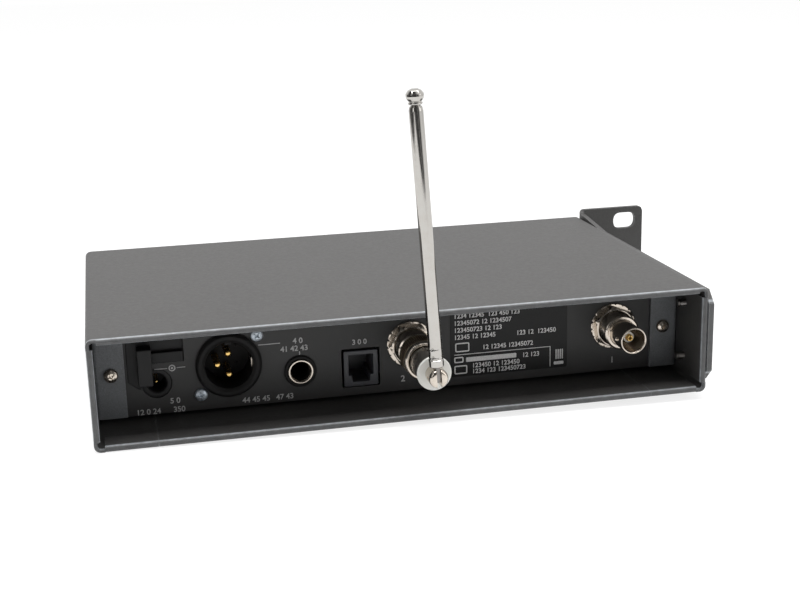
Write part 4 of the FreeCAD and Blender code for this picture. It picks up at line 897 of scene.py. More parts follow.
def turnSockets():
    face = corners("rear_panel")[1].y
    s = roundSockets["inlet"]
    pin = middle("power_inlet_pin")
    centre = (pin.x, face, pin.z)
    nose = soften([(-12.2, 0), (-12.2, 4.6), (-2.5, 4.6), (-2.5, s["nose"]), (-0.3, s["nose"]),
                   (-0.3, s["bore"] + 0.5), (-0.9, s["bore"]), (-s["depth"], s["bore"]),
                   (-s["depth"], 0)], 0.25)
    settle("powerInlet", lathe(nose, centre, yAxis, 64), "case", "black_plastic", ["power_inlet"])
    tip = soften([(0, 0), (0, 0.62), (s["depth"] - 2.6, 0.62), (s["depth"] - 2.0, 0.3),
                  (s["depth"] - 2.0, 0)], 0.3)
    settle("inletPin", lathe(tip, (pin.x, face - s["depth"], pin.z), yAxis, 32), "case", "gold",
           ["power_inlet_pin"])

    s = roundSockets["output"]
    pins = middle("xlr_pins")
    pins.x = corners("xlr_pins")[0].x + s["pin"]
    profile = soften([(-19, 0), (-19, s["neck"]), (0.05, s["neck"]), (0.05, s["rim"]), (1.1, s["rim"]),
                      (s["proud"], s["rim"] - 0.9), (s["proud"], s["bore"] + 1.1), (1.2, s["bore"]),
                      (-s["depth"], s["bore"]), (-s["depth"], 0)], 0.4)
    shell = lathe(profile, (pins.x, face, pins.z), yAxis, 96)
    key = block((pins.x - 1.0, face - s["depth"] - 0.2, pins.z + s["bore"] - 1.1),
                (pins.x + 1.0, face + 0.6, pins.z + s["bore"] + 0.6), 0.2)
    web = []
    for dx, dz in ((-3.8, 3.2), (-3.8, -3.2)):
        x, y, z = pins.x + dx, face - s["depth"], pins.z + dz
        web.append(block((x - 0.5, y - 0.2, z - 0.5), (x + 0.5, y + 0.4, z + 0.5), 0.15))
    mesh = combine(shell, [key, *web], "UNION")
    settle("outputShell", mesh, "case", "black_plastic", ["xlr_housing"], finish=deepBlack)
    low, high = corners("xlr_pins")
    radius = s["pin"]
    contacts = []
    for dx, dz in ((0, 1), (1, 0), (0, -1)):
        spot = (pins.x if dx == 0 else high.x - radius, low.y, pins.z + dz * (high.z - pins.z - radius))
        reach = high.y - low.y
        line = soften([(0, 0), (0, radius), (reach - 0.6, radius), (reach, radius - 0.55), (reach, 0)], 0.6)
        contacts.append(lathe(line, spot, yAxis, 32))
    settle("outputPins", joined(*contacts), "case", "gold", ["xlr_pins"])

    low, high = corners("xlr_earth_tab")
    bends = ((low.y, 0.0, 0.0), (high.y - 3.0, 0.0, 0.0), (high.y - 1.2, 0.25, 0.1), (high.y, 0.05, 0.35))
    rings = []
    for y, bow, rise in bends:
        ring = oblong((low.x + bow, low.z + rise), (high.x - 0.25 + bow, high.z - rise), 0.1, 2)
        rings.append(standing(ring, y))
    settle("earthSpring", loft(rings), "case", "zinc", ["xlr_earth_tab"], finish=finishes["nickel"])

    s = roundSockets["jack"]
    jack = middle("jack_ferrule")
    low, high = corners("jack_body")
    centre = (jack.x, face, jack.z)
    top = high.y - face
    collar = soften([(-17.5, 5.0), (0.02, 5.0), (0.02, s["rim"]), (top - 0.35, s["rim"]),
                     (top, s["rim"] - 0.35), (top, 4.5), (-0.3, 4.5), (-0.3, s["hole"]), (-17.5, s["hole"])],
                    0.15, True)
    rearBlock = block((low.x, low.y, low.z), (high.x, face - 1.5, high.z), 0.4)
    wayIn = rod((jack.x, low.y + 2, jack.z), (jack.x, high.y + 1, jack.z), 4.4, 48)
    barrel = combine(rearBlock, [wayIn])
    settle("jackBody", joined(lathe(collar, centre, yAxis, 72, True), barrel), "case", "black_plastic",
           ["jack_body"], finish=deepBlack)
    lip = corners("jack_ferrule")[1].y - face
    ring = soften([(-0.6, 4.45), (lip - 0.25, 4.45), (lip, 4.25), (lip, 3.8), (lip - 0.5, s["hole"] + 0.05),
                   (-0.6, s["hole"] + 0.05)], 0.15, True)
    settle("jackFerrule", lathe(ring, centre, yAxis, 72, True), "case", "nickel", ["jack_ferrule"])


dataSocket = {"mouth": (8.7, 7.3), "latch": (6.4, 1.5), "notch": (6.0, 0.9)}


def mouldData():
    s = dataSocket
    low, high = corners("data_socket")
    x = (low.x + high.x) / 2
    wide, tall = s["mouth"][0] / 2, s["mouth"][1]
    top = high.z - 1.6
    foot = top - tall
    latch, latchTall = s["latch"][0] / 2, s["latch"][1]
    notch, notchTall = s["notch"][0] / 2, s["notch"][1]
    half = [(wide, top), (wide, foot), (latch, foot), (latch, foot - latchTall), (notch, foot - latchTall),
            (notch, foot - latchTall - notchTall)]
    mouth = [(x - across, z) for across, z in half] + [(x + across, z) for across, z in half[::-1]]
    mouth = soften(mouth, 0.12, True, 2)
    rim = oblong((low.x, low.z + 0.5), (high.x, high.z), 0.5)
    bezel = panelPlate(rim, [mouth], high.y - 1.6, high.y, 0.25)
    rim = oblong((low.x + 0.3, low.z), (high.x - 0.3, high.z - 0.3), 0.3)
    tube = panelPlate(rim, [mouth], low.y + 1.2, high.y - 1.6, 0.1)
    back = panelPlate(rim, [], low.y, low.y + 1.2, 0.1)
    settle("dataSocket", joined(bezel, tube, back), "case", "grey_plastic", ["data_socket"])


pressPanel()
printPanel()
stickLabel()
mouldHook()
turnSockets()
mouldData()
print("panel and its sockets made")


antennaSocket = {
    "thread": 6.35, "pitch": 0.85, "threadDepth": 0.32, "threadEnd": 9.6, "barrel": 4.8, "bore": 4.1,
    "studReach": 5.5, "studRadius": 1.0, "studBack": 4.4,
    "nutFlats": 14.0, "nutTurns": (8, 30), "washerTeeth": 18, "washer": 8.5,
}


def spiral(pitch, depth, start, end):
    # cut thread that fades out at its ends
    def shape(angle, place, radius):
        if place < start or place > end:
            return radius
        wave = (place / pitch + angle / math.tau) % 1.0
        fade = min(1.0, (place - start) / pitch, (end - place) / pitch)
        return radius - depth * fade * (1 - abs(wave * 2 - 1)) ** 0.8
    return shape


def steps(start, end, gap):
    count = max(1, round((end - start) / gap))
    return [start + (end - start) * index / count for index in range(count + 1)]


def hexagonNut(low, high, flats, hole, centre, degrees):
    apothem = flats / 2
    corner = apothem / math.cos(math.pi / 6)

    def shape(angle, place, radius):
        if radius < apothem - 0.1:
            return radius
        turn = (angle + math.pi / 6) % (math.pi / 3) - math.pi / 6
        return min(radius, apothem / math.cos(turn))

    profile = [(low, hole + 0.25), (low, apothem - 0.05), (low + 0.12, apothem + 0.25)]
    profile += [(place, corner) for place in (low + 0.5, high - 0.75)]
    profile += [(high - 0.3, apothem + 0.35), (high, apothem - 0.45), (high, hole + 0.4), (high - 0.35, hole),
                (low + 0.3, hole)]
    mesh = lathe(profile, centre, yAxis, 144, True, shape)
    return turned(mesh, centre, "Y", degrees)


def turnAntennaSockets():
    s = antennaSocket
    face = corners("rear_panel")[1].y
    for number in (1, 2):
        shell = f"antenna_{number}_socket_shell"
        spot = middle(shell)
        tip = corners(shell)[1].y - face
        centre = (spot.x, face, spot.z)
        profile = [(-8, 2.2), (-8, 4.2), (-4, 4.2), (-4, 7.6), (-1.5, 7.6), (-1.5, s["thread"])]
        profile += [(place, s["thread"]) for place in steps(-1.3, s["threadEnd"] - 0.5, 0.12)]
        profile += soften([(s["threadEnd"] - 0.45, s["thread"]), (s["threadEnd"], s["thread"] - 0.6),
                           (s["threadEnd"], s["barrel"] + 0.1), (s["threadEnd"] + 0.8, s["barrel"]),
                           (tip - 0.7, s["barrel"]), (tip - 0.1, s["barrel"] - 0.1), (tip, s["bore"] + 0.25),
                           (tip - 0.3, s["bore"]), (9.0, s["bore"]), (5.0, s["bore"]), (5.0, 2.2)], 0.18)
        shape = spiral(s["pitch"], s["threadDepth"], -1.2, s["threadEnd"] - 0.3)
        body = lathe(profile, centre, yAxis, 72, True, shape)
        studs = []
        for side in (-1, 1):
            studY = face + tip - s["studBack"]
            line = [(0, 0), (0, s["studRadius"]), (0.85, s["studRadius"]), (1.1, 0.75), (1.1, 0)]
            root = (spot.x + side * (s["studReach"] - 1.1), studY, spot.z)
            studs.append(lathe(line, root, (side, 0, 0), 28))
        settle(f"antennaSocket{number}Shell", joined(body, *studs), "case", "nickel", [shell])

        def toothed(angle, place, radius):
            if radius < 7.0:
                return radius
            return radius - 0.4 * max(0.0, math.sin(angle * s["washerTeeth"])) ** 6

        ring = [(0, 6.4), (0, 7.1), (0.05, s["washer"]), (0.5, s["washer"]), (0.72, s["washer"] - 0.3),
                (0.78, 7.1), (0.78, 6.4)]
        settle(f"antennaSocket{number}Washer", lathe(ring, centre, yAxis, 240, True, toothed), "case",
               "nickel", [f"antenna_{number}_socket_washer"])
        node = f"antenna_{number}_socket_nut"
        low, high = corners(node)
        mesh = hexagonNut(low.y - face, high.y - face, s["nutFlats"], s["thread"], centre,
                          s["nutTurns"][number - 1])
        settle(f"antennaSocket{number}Nut", mesh, "case", "nickel", [node])
        core = soften([(-7.4, 0.72), (-7.4, 2.15), (12, 2.15), (12.4, 1.9), (15.4, 1.9), (15.4, 1.28),
                       (12, 1.28), (12, 0.72)], 0.12, True)
        settle(f"antennaSocket{number}Insulator", lathe(core, centre, yAxis, 48, True), "case", "ptfe",
               [f"antenna_{number}_socket_insulator"])
        sleeve = soften([(-11, 0), (-11, 0.68), (12, 0.68), (12, 1.24), (16.3, 1.24), (16.8, 0.95),
                         (16.8, 0.6), (12.6, 0.55), (12.6, 0)], 0.15)
        contact = lathe(sleeve, centre, yAxis, 40)
        cuts = []
        for wide, tall in ((0.13, 2), (2, 0.13)):
            start = (spot.x - wide, face + 14.4, spot.z - tall)
            cuts.append(block(start, (spot.x + wide, face + 17.5, spot.z + tall), 0.02))
        settle(f"antennaSocket{number}Contact", combine(contact, cuts), "case", "gold",
               [f"antenna_{number}_socket_contact"])


def jointNamed(name):
    return [joint for joint in frame["joints"] if joint["name"] == name][0]


fittedAntenna = {
    "ringRidges": 56, "ridgeDepth": 0.36, "ringRadius": 6.75, "sleeve": 5.2, "disc": 5.8, "knuckle": 3.2,
    "slot": 1.6, "lean": 3.5, "tongue": 1.4,
    "outer": 2.3, "outerBore": 1.95, "middle": 1.85, "middleBore": 1.5, "inner": 1.4, "knob": 2.85,
    "footTop": 6.6, "tubeTop": 88.0, "knobTall": 4.9,
    "grooves": [7.4, 10.2], "dimpleTurn": 51.0,     # rolled crimps near the foot, and where their pits sit
}


def uprightMesh(mesh):
    # from drawn upright at the hinge to its place, leaning with the mast
    hinge = Vector(jointNamed("mast_tilt")["pos_m"])
    lean = Matrix.Rotation(math.radians(fittedAntenna["lean"]), 4, "Y")
    mesh.transform(Matrix.Translation(hinge) @ lean)
    return mesh


def turnPlug():
    s = fittedAntenna
    face = corners("rear_panel")[1].y
    socket = middle("antenna_2_socket_shell")
    centre = (socket.x, face, socket.z)
    ringLow, ringHigh = corners("bayonet_ring")
    start, end = ringLow.y - face, ringHigh.y - face
    knurlEnd = end - 2.9
    r = s["ringRadius"]

    def ridged(angle, place, radius):
        if not start + 1.0 < place < knurlEnd + 0.02 or radius < r - 0.4:
            return radius
        wave = abs(((angle / math.tau * s["ringRidges"]) % 1.0) * 2 - 1)
        return radius - s["ridgeDepth"] * (1 - wave) ** 0.7

    back, step = start + 1.2, knurlEnd + 0.3
    profile = [(start, 5.8), (start, r - 0.7), (back - 0.2, r - 0.6), (back, r - 0.2), (back + 0.2, r - 0.02)]
    profile += [(place, r) for place in steps(back + 0.5, knurlEnd - 0.2, 0.9)]
    profile += [(knurlEnd, r), (knurlEnd + 0.12, r - 0.6), (step, r - 0.6), (step, 5.8)]
    knurl = lathe(profile, centre, yAxis, s["ringRidges"] * 6, True, ridged)
    settle("bayonetKnurl", knurl, "bayonet_ring", "nickel", ["bayonet_ring"], finish=knurlNickelShaded)
    rim = soften([(step, 5.8), (step, r - 0.6), (step + 0.2, r - 0.6), (step + 0.4, r - 0.05),
                  (end - 0.55, r), (end, r - 0.5), (end, 5.5), (end - 1.0, 5.35), (end - 1.1, 5.35),
                  (end - 1.1, 5.8)], 0.25, True)
    settle("bayonetRim", lathe(rim, centre, yAxis, 96, True), "bayonet_ring", "nickel")

    plugEnd = corners("antenna_plug_body")[1].y - face
    tip = corners("antenna_plug_body")[0].y - face
    line = soften([(tip, 2.45), (tip, 3.7), (tip + 6.5, 3.7), (tip + 6.5, 4.4), (end + 0.3, 4.4),
                   (end + 0.3, s["sleeve"]), (end + 1.2, s["sleeve"]), (end + 1.45, s["sleeve"] - 0.18),
                   (end + 1.7, s["sleeve"]), (plugEnd - 0.9, s["sleeve"]), (plugEnd, s["sleeve"] - 0.6),
                   (plugEnd, 0.0)], 0.25)
    line = line + [(tip + 7.0, 0.0), (tip + 7.0, 2.45)]
    settle("plugSleeve", lathe(line, centre, yAxis, 72, True), "antenna_plug", "chrome",
           ["antenna_plug_body"], finish=darkChrome)

    low, high = corners("antenna_insulating_disc")
    gauge = high.y - low.y
    disc = soften([(0, 0), (0, s["disc"]), (gauge, s["disc"]), (gauge, 0)], 0.35, parts=4)
    settle("insulatingDisc", lathe(disc, (socket.x, low.y, socket.z), yAxis, 72), "antenna_plug", "ptfe",
           ["antenna_insulating_disc"])


def turnMast():
    s = fittedAntenna
    k = s["knuckle"]
    stub = lathe(soften([(-3.8, 0), (-3.8, k), (2.8, k, 1.7), (2.8, 0)], 0.15, parts=6), (0, 0, 0), yAxis, 64)
    gap = block((-s["slot"] / 2, -3.1, -8), (s["slot"] / 2, 9, 8), 0.05)
    bore = rod((-8, 0, 0), (8, 0, 0), 0.8, 24)
    mesh = uprightMesh(combine(stub, [gap, bore]))
    settle("slottedKnuckle", mesh, "antenna_plug", "nickel", ["antenna_knuckle"])
    reach = k - 0.4
    rivet = soften([(-reach, 0), (-reach, 0.78), (reach, 0.78), (reach, 0)], 0.25)
    settle("hingePin", uprightMesh(lathe(rivet, (0, 0, 0), xAxis, 28)), "antenna_plug", "nickel",
           ["hinge_pin"])

    half = s["tongue"] / 2
    foot = s["footTop"]
    collar = lathe(soften([(3.7, 0), (3.7, 2.15), (4.0, 2.45), (foot - 0.5, 2.45), (foot - 0.25, 2.1),
                           (foot, 2.1), (foot, 0)], 0.2), (0, 0, 0), zAxis, 48)
    settle("mastCollar", uprightMesh(collar), "mast_outer", "chrome")
    eye = lathe(soften([(-half, 0), (-half, 1.9), (half, 1.9), (half, 0)], 0.2), (0, 0, 0), xAxis, 48)
    tongue = block((-half, -1.9, 0), (half, 1.9, 4.7), 0.12)
    eyelet = combine(combine(tongue, [eye], "UNION"), [rod((-5, 0, 0), (5, 0, 0), 0.85, 24)])
    settle("mastFoot", uprightMesh(eyelet), "mast_outer", "chrome", ["mast_foot"], finish=shadedNickel)

    top = s["tubeTop"]
    pit = math.radians(s["dimpleTurn"])

    def crimped(angle, place, radius):
        if place > 20 or radius < s["outer"] - 0.2:
            return radius
        for groove in s["grooves"]:
            across = (place - groove) / 0.42
            radius -= 0.07 * math.exp(-across * across)
            for turn in (pit, pit - math.pi):
                apart = math.remainder(angle - turn, math.tau) * s["outer"] / 0.6
                radius -= 0.4 * math.exp(-apart * apart - across * across)
        return radius

    profile = [(foot, 0)] + soften([(foot, 1.2), (foot, s["outer"]), (foot + 0.4, s["outer"])], 0.3)
    profile += [(place, s["outer"]) for place in steps(foot + 0.42, 13.3, 0.13)]
    profile += soften([(20, s["outer"]), (top - 1.1, s["outer"]), (top - 0.5, s["outer"] - 0.12),
                       (top, s["outer"] - 0.2), (top, s["outerBore"]), (10.1, s["outerBore"]), (10.1, 0)],
                      0.06)
    settle("mastOuterTube", uprightMesh(lathe(profile, (0, 0, 0), zAxis, 72, shape=crimped)), "mast_outer",
           "chrome", ["mast_outer_section"])
    profile = soften([(10.3, 0), (10.3, s["middle"]), (top + 0.4, s["middle"]), (top + 0.4, s["middleBore"]),
                      (12.4, s["middleBore"]), (12.4, 0)], 0.15)
    settle("mastMiddleTube", uprightMesh(lathe(profile, (0, 0, 0), zAxis, 48)), "mast_middle", "chrome",
           ["mast_middle_section"])
    profile = soften([(12.6, 0), (12.6, s["inner"]), (top + 1.15, s["inner"]), (top + 1.15, 0)], 0.15)
    settle("mastInnerRod", uprightMesh(lathe(profile, (0, 0, 0), zAxis, 40)), "mast_inner", "chrome",
           ["mast_inner_section"])
    knob, base = s["knob"], top + 0.8
    high = s["knobTall"]
    profile = soften([(base + 0.4, 1.42), (base, 1.5), (base, 2.1), (base + 0.25, 2.3), (base + 0.6, 2.3),
                      (base + 0.75, 2.0), (base + 1.0, 2.0), (base + 1.15, 2.25), (base + 1.9, knob - 0.12),
                      (base + 2.6, knob), (base + 3.3, knob), (base + 4.35, knob - 0.75),
                      (base + high, knob - 1.9), (base + high, 0)], 0.35, parts=4)
    profile = [(base + 0.4, 0)] + profile
    settle("mastTipKnob", uprightMesh(lathe(profile, (0, 0, 0), zAxis, 64)), "mast_inner", "chrome",
           ["mast_tip_knob"])


screwKinds = {
    "panel": {"head": 2.5, "tall": 1.5, "shank": 1.45, "reach": 6.0, "cross": 0.42},
    "output": {"head": 2.3, "tall": 1.5, "shank": 1.3, "reach": 4.5, "cross": 0.42},
    "ear": {"head": 2.9, "tall": 1.9, "shank": 1.45, "reach": 6.2, "cross": 0.5},
}


def crossScrew(kind, centre, axis, degrees):
    # pan head with a crosshead recess; its head's underside is at the centre
    s = screwKinds[kind]
    head, tall = s["head"], s["tall"]
    line = [(-s["reach"], 0), (-s["reach"], s["shank"] - 0.3), (-s["reach"] + 0.3, s["shank"])]
    line += [(place, s["shank"]) for place in steps(-s["reach"] + 0.5, -0.3, 0.12)]
    line += soften([(0, s["shank"]), (0, head - 0.1), (tall * 0.35, head), (tall * 0.78, head * 0.82),
                    (tall, head * 0.45), (tall, 0)], 0.5, parts=4)
    shape = spiral(0.5, 0.2, -s["reach"] + 0.3, -0.25)
    mesh = lathe(line, (0, 0, 0), zAxis, 48, shape=shape)
    wide, deep, reach = s["cross"] / 2, tall * 0.45, head * 0.52
    blades = []
    for turn in (0, 90):
        rings = []
        for level, long in ((deep, reach * 0.45), (tall + 0.3, reach * 1.15)):
            rings.append([(x, y, level) for x, y in oblong((-long, -wide), (long, wide), 0.05, 2)])
        blades.append(turned(loft(rings), (0, 0, 0), "Z", turn))
    cone = lathe([(deep - 0.15, 0), (deep - 0.15, 0.2), (tall + 0.2, head * 0.3), (tall + 0.2, 0)], (0, 0, 0),
                 zAxis, 24)
    mesh = combine(mesh, [*blades, cone])
    mesh.transform(Matrix.Rotation(math.radians(degrees), 4, "Z"))
    along, side, up = frameOf(axis)
    place = Matrix((side, up, along)).transposed().to_4x4()
    mesh.transform(Matrix.Translation(Vector(centre) * mm) @ place)
    return mesh


def driveScrews():
    low, high = corners("panel_screws")
    base = high.y - screwKinds["panel"]["tall"]
    z = middle("panel_screws").z
    inset = panelBracket["screwInset"]
    pair = [crossScrew("panel", (high.x - inset, base, z), yAxis, 24),
            crossScrew("panel", (low.x + inset, base, z), yAxis, 61)]
    settle("panelScrews", joined(*pair), "case", "nickel", ["panel_screws"])
    low, high = corners("xlr_screws")
    face = corners("rear_panel")[1].y
    inset = rearPanel["screwInset"]
    pair = [crossScrew("output", (high.x - inset, face, low.z + inset), yAxis, 12),
            crossScrew("output", (low.x + inset, face, high.z - inset), yAxis, 50)]
    settle("outputScrews", joined(*pair), "case", "zinc", ["xlr_screws"])
    outer = corners("rack_ear")[1].x - rackEar["gauge"]
    four = [crossScrew("ear", (outer, y, z), (-1, 0, 0), 17 * index)
            for index, (y, z) in enumerate(caseSheet["sideSpots"])]
    settle("earScrews", joined(*four), "case", "zinc", ["ear_screws"], finish=shadedNickel)


turnAntennaSockets()
turnPlug()
turnMast()
driveScrews()
print("sockets, antenna and screws turned")


fascia = {
    "chamfer": 2.5, "corner": 1.4, "wall": 2.5, "keyGap": 0.3, "seat": 1.2, "lug": 1.5, "lugBore": 1.3,
    "capInset": 1.0,                    # a key's cap is this much smaller than its flange
    "rockerInset": (1.9, -0.3),         # the rocker's opening is smaller than its box across, and taller
}


def mouldFascia():
    s = fascia
    low, high = corners("front_panel")
    rings = []
    cut = s["chamfer"]
    for y, inset in ((high.y, 0.25), (high.y - 0.25, 0), (low.y + cut + 0.3, 0), (low.y + cut - 0.3, 0.3),
                     (low.y + 0.3, cut - 0.35), (low.y, cut + 0.15)):
        ring = oblong((low.x + inset, low.z + inset), (high.x - inset, high.z - inset), s["corner"], 4)
        rings.append(standing(ring, y))
    shell = loft(rings)
    inner = low.y + s["wall"]
    wall = s["wall"]
    tools = [block((low.x + wall, inner, low.z + wall), (high.x - wall, high.y + 5, high.z - wall), 0.3)]
    windowLow, windowHigh = corners("display_window")
    tools.append(block((windowLow.x - 0.06, low.y - 3, windowLow.z - 0.06),
                       (windowHigh.x + 0.06, low.y + s["seat"], windowHigh.z + 0.06), 0.12))
    tools.append(block((windowLow.x + 2, low.y - 3, windowLow.z + 1.5),
                       (windowHigh.x - 2, inner + 3, windowHigh.z - 1.5), 0.5))
    gap = s["keyGap"]
    cap = (s["capInset"], s["capInset"])
    openings = {"power_key": cap, "set_key": cap, "up_down_rocker": s["rockerInset"]}
    for node, (shrinkX, shrinkZ) in openings.items():
        keyLow, keyHigh = corners(node)
        tools.append(block((keyLow.x + shrinkX - gap, low.y - 3, keyLow.z + shrinkZ - gap),
                           (keyHigh.x - shrinkX + gap, inner + 3, keyHigh.z - shrinkZ + gap), 0.55))
    body = combine(shell, tools)
    rocker = corners("up_down_rocker")
    z, half = middle("up_down_rocker").z, s["lug"] / 2
    pivot = jointNamed("rocker_tilt")["pos_m"][1] / mm
    lugs = []
    for side, x in ((-1, rocker[0].x), (1, rocker[1].x)):
        spot = x + side * 0.3 - half * side
        lug = block((spot - half, inner - 0.2, z - 2.2), (spot + half, inner + 3.6, z + 2.2), 0.2)
        hole = rod((x - 4, pivot, z), (x + 4, pivot, z), s["lugBore"], 32)
        lugs.append(combine(lug, [hole]))
    settle("frontFascia", joined(body, *lugs), "case", "fascia_plastic", ["front_panel"])
    pane = panelPlate(oblong((windowLow.x, windowLow.z), (windowHigh.x, windowHigh.z), 0.4), [], windowLow.y,
                      windowHigh.y, 0.15)
    settle("displayWindow", pane, "case", "window_acrylic", ["display_window"])


def mouldKeys():
    inner = corners("front_panel")[0].y + fascia["wall"]
    cap = fascia["capInset"]
    for node in ("power_key", "set_key"):
        low, high = corners(node)
        x, z = (low.x + high.x) / 2, (low.z + high.z) / 2
        rings = []
        for y, inset in ((inner + 0.4, 0), (low.y + 0.5, 0), (low.y + 0.12, 0.18), (low.y, 0.5),
                         (low.y + 0.1, 1.2), (low.y + 0.22, 2.4)):
            edge = cap + inset
            ring = oblong((low.x + edge, low.z + edge), (high.x - edge, high.z - edge), 0.9, 4)
            rings.append(standing(ring, y))
        flange = block((low.x, inner + 0.1, low.z), (high.x, inner + 1.2, high.z), 0.2)
        stem = rod((x, inner + 0.4, z), (x, high.y, z), 1.6, 32)
        settle(node.split("_")[0] + "Key", combine(loft(rings), [flange, stem], "UNION"), node, "key_plastic",
               [node])
    low, high = corners("up_down_rocker")
    x = (low.x + high.x) / 2
    half = (high.x - low.x) / 2 - fascia["rockerInset"][0]
    pivot = Vector(jointNamed("rocker_tilt")["pos_m"]) / mm
    face = low.y
    outline = soften([(face, low.z), (face + 0.85, pivot.z), (face, high.z), (face + 1.9, high.z),
                      (pivot.y + 1.6, pivot.z + 4), (pivot.y + 1.6, pivot.z - 4), (face + 1.9, low.z)], 0.45,
                     True, 4)
    rings = []
    for place, shrink in ((-half, 0.3), (-half + 0.3, 0.0), (half - 0.3, 0.0), (half, 0.3)):
        ring = []
        for y, z in outline:
            ring.append((x + place, y + (shrink if y < pivot.y else -shrink),
                         z - math.copysign(shrink, z - pivot.z)))
        rings.append(ring)
    slab = loft(rings)
    parts = [rod((low.x, pivot.y, pivot.z), (high.x, pivot.y, pivot.z), 1.0, 32)]
    parts += [rod((x, pivot.y - 1, pivot.z + side), (x, high.y, pivot.z + side), 1.4, 28) for side in (-6, 6)]
    settle("rockerKey", combine(slab, parts, "UNION"), "up_down_rocker", "key_plastic", ["up_down_rocker"])


def printFascia():
    # plain numbers and marks beside the keys, and figures on the display
    front = corners("front_panel")[0].y
    marks = []
    for node, mark in (("power_key", "1"), ("set_key", "2")):
        spot = middle(node)
        marks.append(frontDigits(mark, spot.x - 0.9, spot.z - 8.6, 2.2, front))
    rocker = middle("up_down_rocker")
    for side, mark in ((1, "3"), (-1, "4")):
        marks.append(frontDigits(mark, rocker.x - 10.8, rocker.z + side * 5.2 - 1.1, 2.2, front))
    settle("fasciaPrint", joined(*marks), "case", "fascia_plastic", finish=labelInk)
    low, high = corners("display_module")
    glass = [frontDigits("1 2 3", low.x + 14, low.z + 7.4, 8.0, low.y),
             frontDigits("0", high.x - 12, low.z + 4.2, 3.0, low.y)]
    for step in range(7):
        left = high.x - 20 + step * 1.9
        bar = oblong((left, low.z + 12.5), (left + 1.3, low.z + 13.2 + step * 0.55), 0.1, 2)
        glass.append(frontPlate(bar, low.y))
    settle("displayFigures", joined(*glass), "case", "lcd", finish=displayInk)


def frontPlate(outline, face):
    return panelPlate(outline, [], face - socketPrint["ink"], face, 0.008)


def frontDigits(text, left, low, height, face):
    mesh = inkDigits(text, 0, 0, height, 0)
    mesh.transform(Matrix(((-1, 0, 0, left * mm), (0, -1, 0, face * mm), (0, 0, 1, low * mm), (0, 0, 0, 1))))
    return mesh


mouldFascia()
mouldKeys()
printFascia()
print("fascia and keys moulded")


def dressFrame():
    # CAD nodes whose shape is right keep it, and get their finish
    slots = {part["node"]: part["material_slot"] for part in frame["record"]["subparts"]}
    for name, node in frame["nodes"].items():
        node.data.materials.clear()
        node.data.materials.append(finishes[slots[name]])


dressFrame()
print("frame nodes dressed")


studio = {
    "lens": 60.0,
    "cameraSpot": (94.84, 478.58, 157.73),
    "heading": 167.63, "pitch": 15.22, "roll": -1.45,      # in degrees
    "floorShade": 0.28,     # how much of the floor's white is open to shadow
    "floorHalf": 2,         # half its size in metres
    "floorReach": 0.52,     # the floor ends here behind the receiver, so bright metal sees the dark room
    "floorSide": 0.3,       # and here beside it
    "floorGap": 0.00005,    # a hair below the metal
    "roomDark": 0.07, "roomBright": 1.0,    # what metal sees near the camera and behind the receiver
    "lamps": [              # name, spot, aims at, width, height, watts
        ("softboxAbove", (0.0, 0.15, 1.2), (0, 0.05, 0), 1.5, 0.5, 17.0),
        ("softboxLeft", (1.1, 0.8, 0.6), (0, 0, 0), 0.4, 0.9, 1.6),
        ("softboxRight", (-1.1, 0.7, 0.5), (0, 0, 0), 0.4, 0.9, 1.4),
    ],
}


def setCamera():
    s = studio
    lens = bpy.data.cameras.new("studioCamera")
    lens.lens = s["lens"]
    lens.sensor_width = 36
    lens.clip_start = 0.01
    camera = bpy.data.objects.new("studioCamera", lens)
    scene.collection.objects.link(camera)
    turn = Matrix.Rotation(math.radians(s["heading"]), 4, "Z")
    tilt = Matrix.Rotation(math.radians(90 - s["pitch"]), 4, "X")
    roll = Matrix.Rotation(math.radians(s["roll"]), 4, "Z")
    camera.matrix_world = Matrix.Translation(Vector(s["cameraSpot"]) * mm) @ turn @ tilt @ roll
    scene.camera = camera


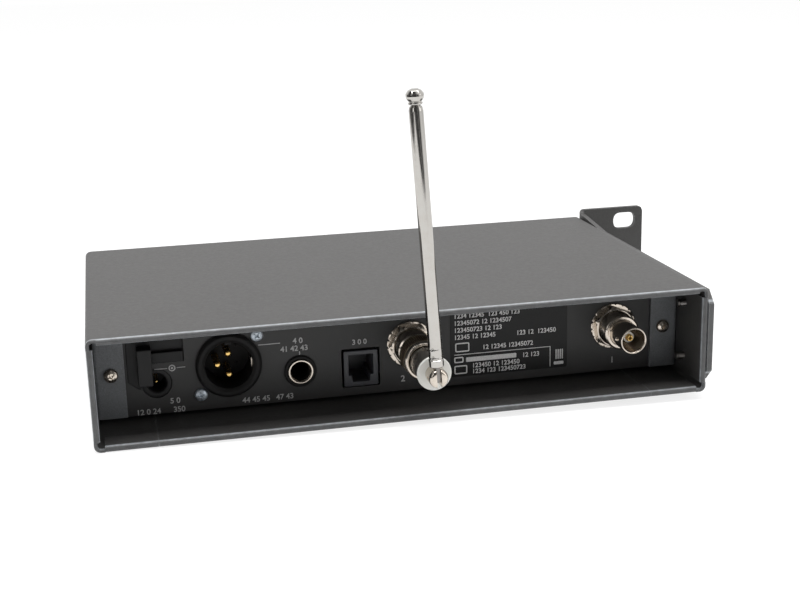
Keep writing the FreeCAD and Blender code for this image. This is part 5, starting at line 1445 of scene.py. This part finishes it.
def layFloor():
    # the ear reaches below the case, so the receiver leans on it and on the far lower edge
    s = studio
    low, high = corners("rack_ear")
    farEdge = corners("case_sleeve")[1].x
    slope = math.atan2(-low.z, farEdge - high.x)
    shape = bmesh.new()
    half = s["floorHalf"]
    bmesh.ops.create_grid(shape, x_segments=8, y_segments=8, size=half)
    mesh = bpy.data.meshes.new("studioFloor")
    shape.to_mesh(mesh)
    shape.free()
    floor = bpy.data.objects.new("studioFloor", mesh)
    scene.collection.objects.link(floor)
    leaning = Matrix.Translation((farEdge * mm, 0, 0)) @ Matrix.Rotation(-slope, 4, "Y")
    sideways, back = s["floorSide"] - half, s["floorReach"] - half
    floor.matrix_world = leaning @ Matrix.Translation((sideways, back, -s["floorGap"]))
    finish = Finish("studioFloor", roughness=0.9)
    cloud = finish.noise(90, 2)
    finish.feed(baseColor=finish.blend(cloud, grey(0.76), grey(0.82)))
    shaded = finish.add("ShaderNodeBsdfDiffuse", None, {"Color": grey(s["floorShade"])})
    glow = finish.add("ShaderNodeEmission", None, {"Strength": 1.08 - s["floorShade"]})
    both = finish.add("ShaderNodeAddShader", None, {0: shaded, 1: glow})
    camera, shine, clear = finish.rays()
    plain = Wire(finish, finish.shader.outputs[0])
    mixed = finish.add("ShaderNodeMixShader", None, {0: camera + shine * 0.5 + clear, 1: plain, 2: both})
    finish.join(finish.tree.nodes["Material Output"].inputs["Surface"], mixed)
    mesh.materials.append(finish.material)


def lightRoom():
    s = studio
    world = bpy.data.worlds.new("studioRoom")
    scene.world = world
    world.use_nodes = True
    nodes = Nodes(world.node_tree)
    spot = nodes.add("ShaderNodeTexCoord", out=0)
    apart = nodes.add("ShaderNodeSeparateXYZ", None, {0: spot}).socket.node
    across, depth, height = [Wire(nodes, apart.outputs[axis]) for axis in "XYZ"]
    facing = 0.5 - depth * 0.5 - across * 0.5 + height * 0.08
    dark = s["roomDark"]
    towards = nodes.ramp(facing, [(0.08, dark), (0.13, 0.4), (0.18, dark), (0.3, dark),
                                  (0.56, s["roomBright"])])
    camera, clear = nodes.rays()[::2]
    back = nodes.tree.nodes["Background"]
    nodes.join(back.inputs["Color"], nodes.blend(camera + clear, towards, (1, 1, 1, 1)))
    back.inputs["Strength"].default_value = 1.0
    for name, place, aim, wide, tall, watts in s["lamps"]:
        lamp = bpy.data.lights.new(name, "AREA")
        lamp.shape = "RECTANGLE"
        lamp.size = wide
        lamp.size_y = tall
        lamp.energy = watts
        holder = bpy.data.objects.new(name, lamp)
        scene.collection.objects.link(holder)
        aimed = (Vector(aim) - Vector(place)).to_track_quat("-Z", "Y").to_matrix().to_4x4()
        holder.matrix_world = Matrix.Translation(place) @ aimed
    scene.view_settings.view_transform = "Standard"


setCamera()
layFloor()
lightRoom()
print("camera, floor and lights set")
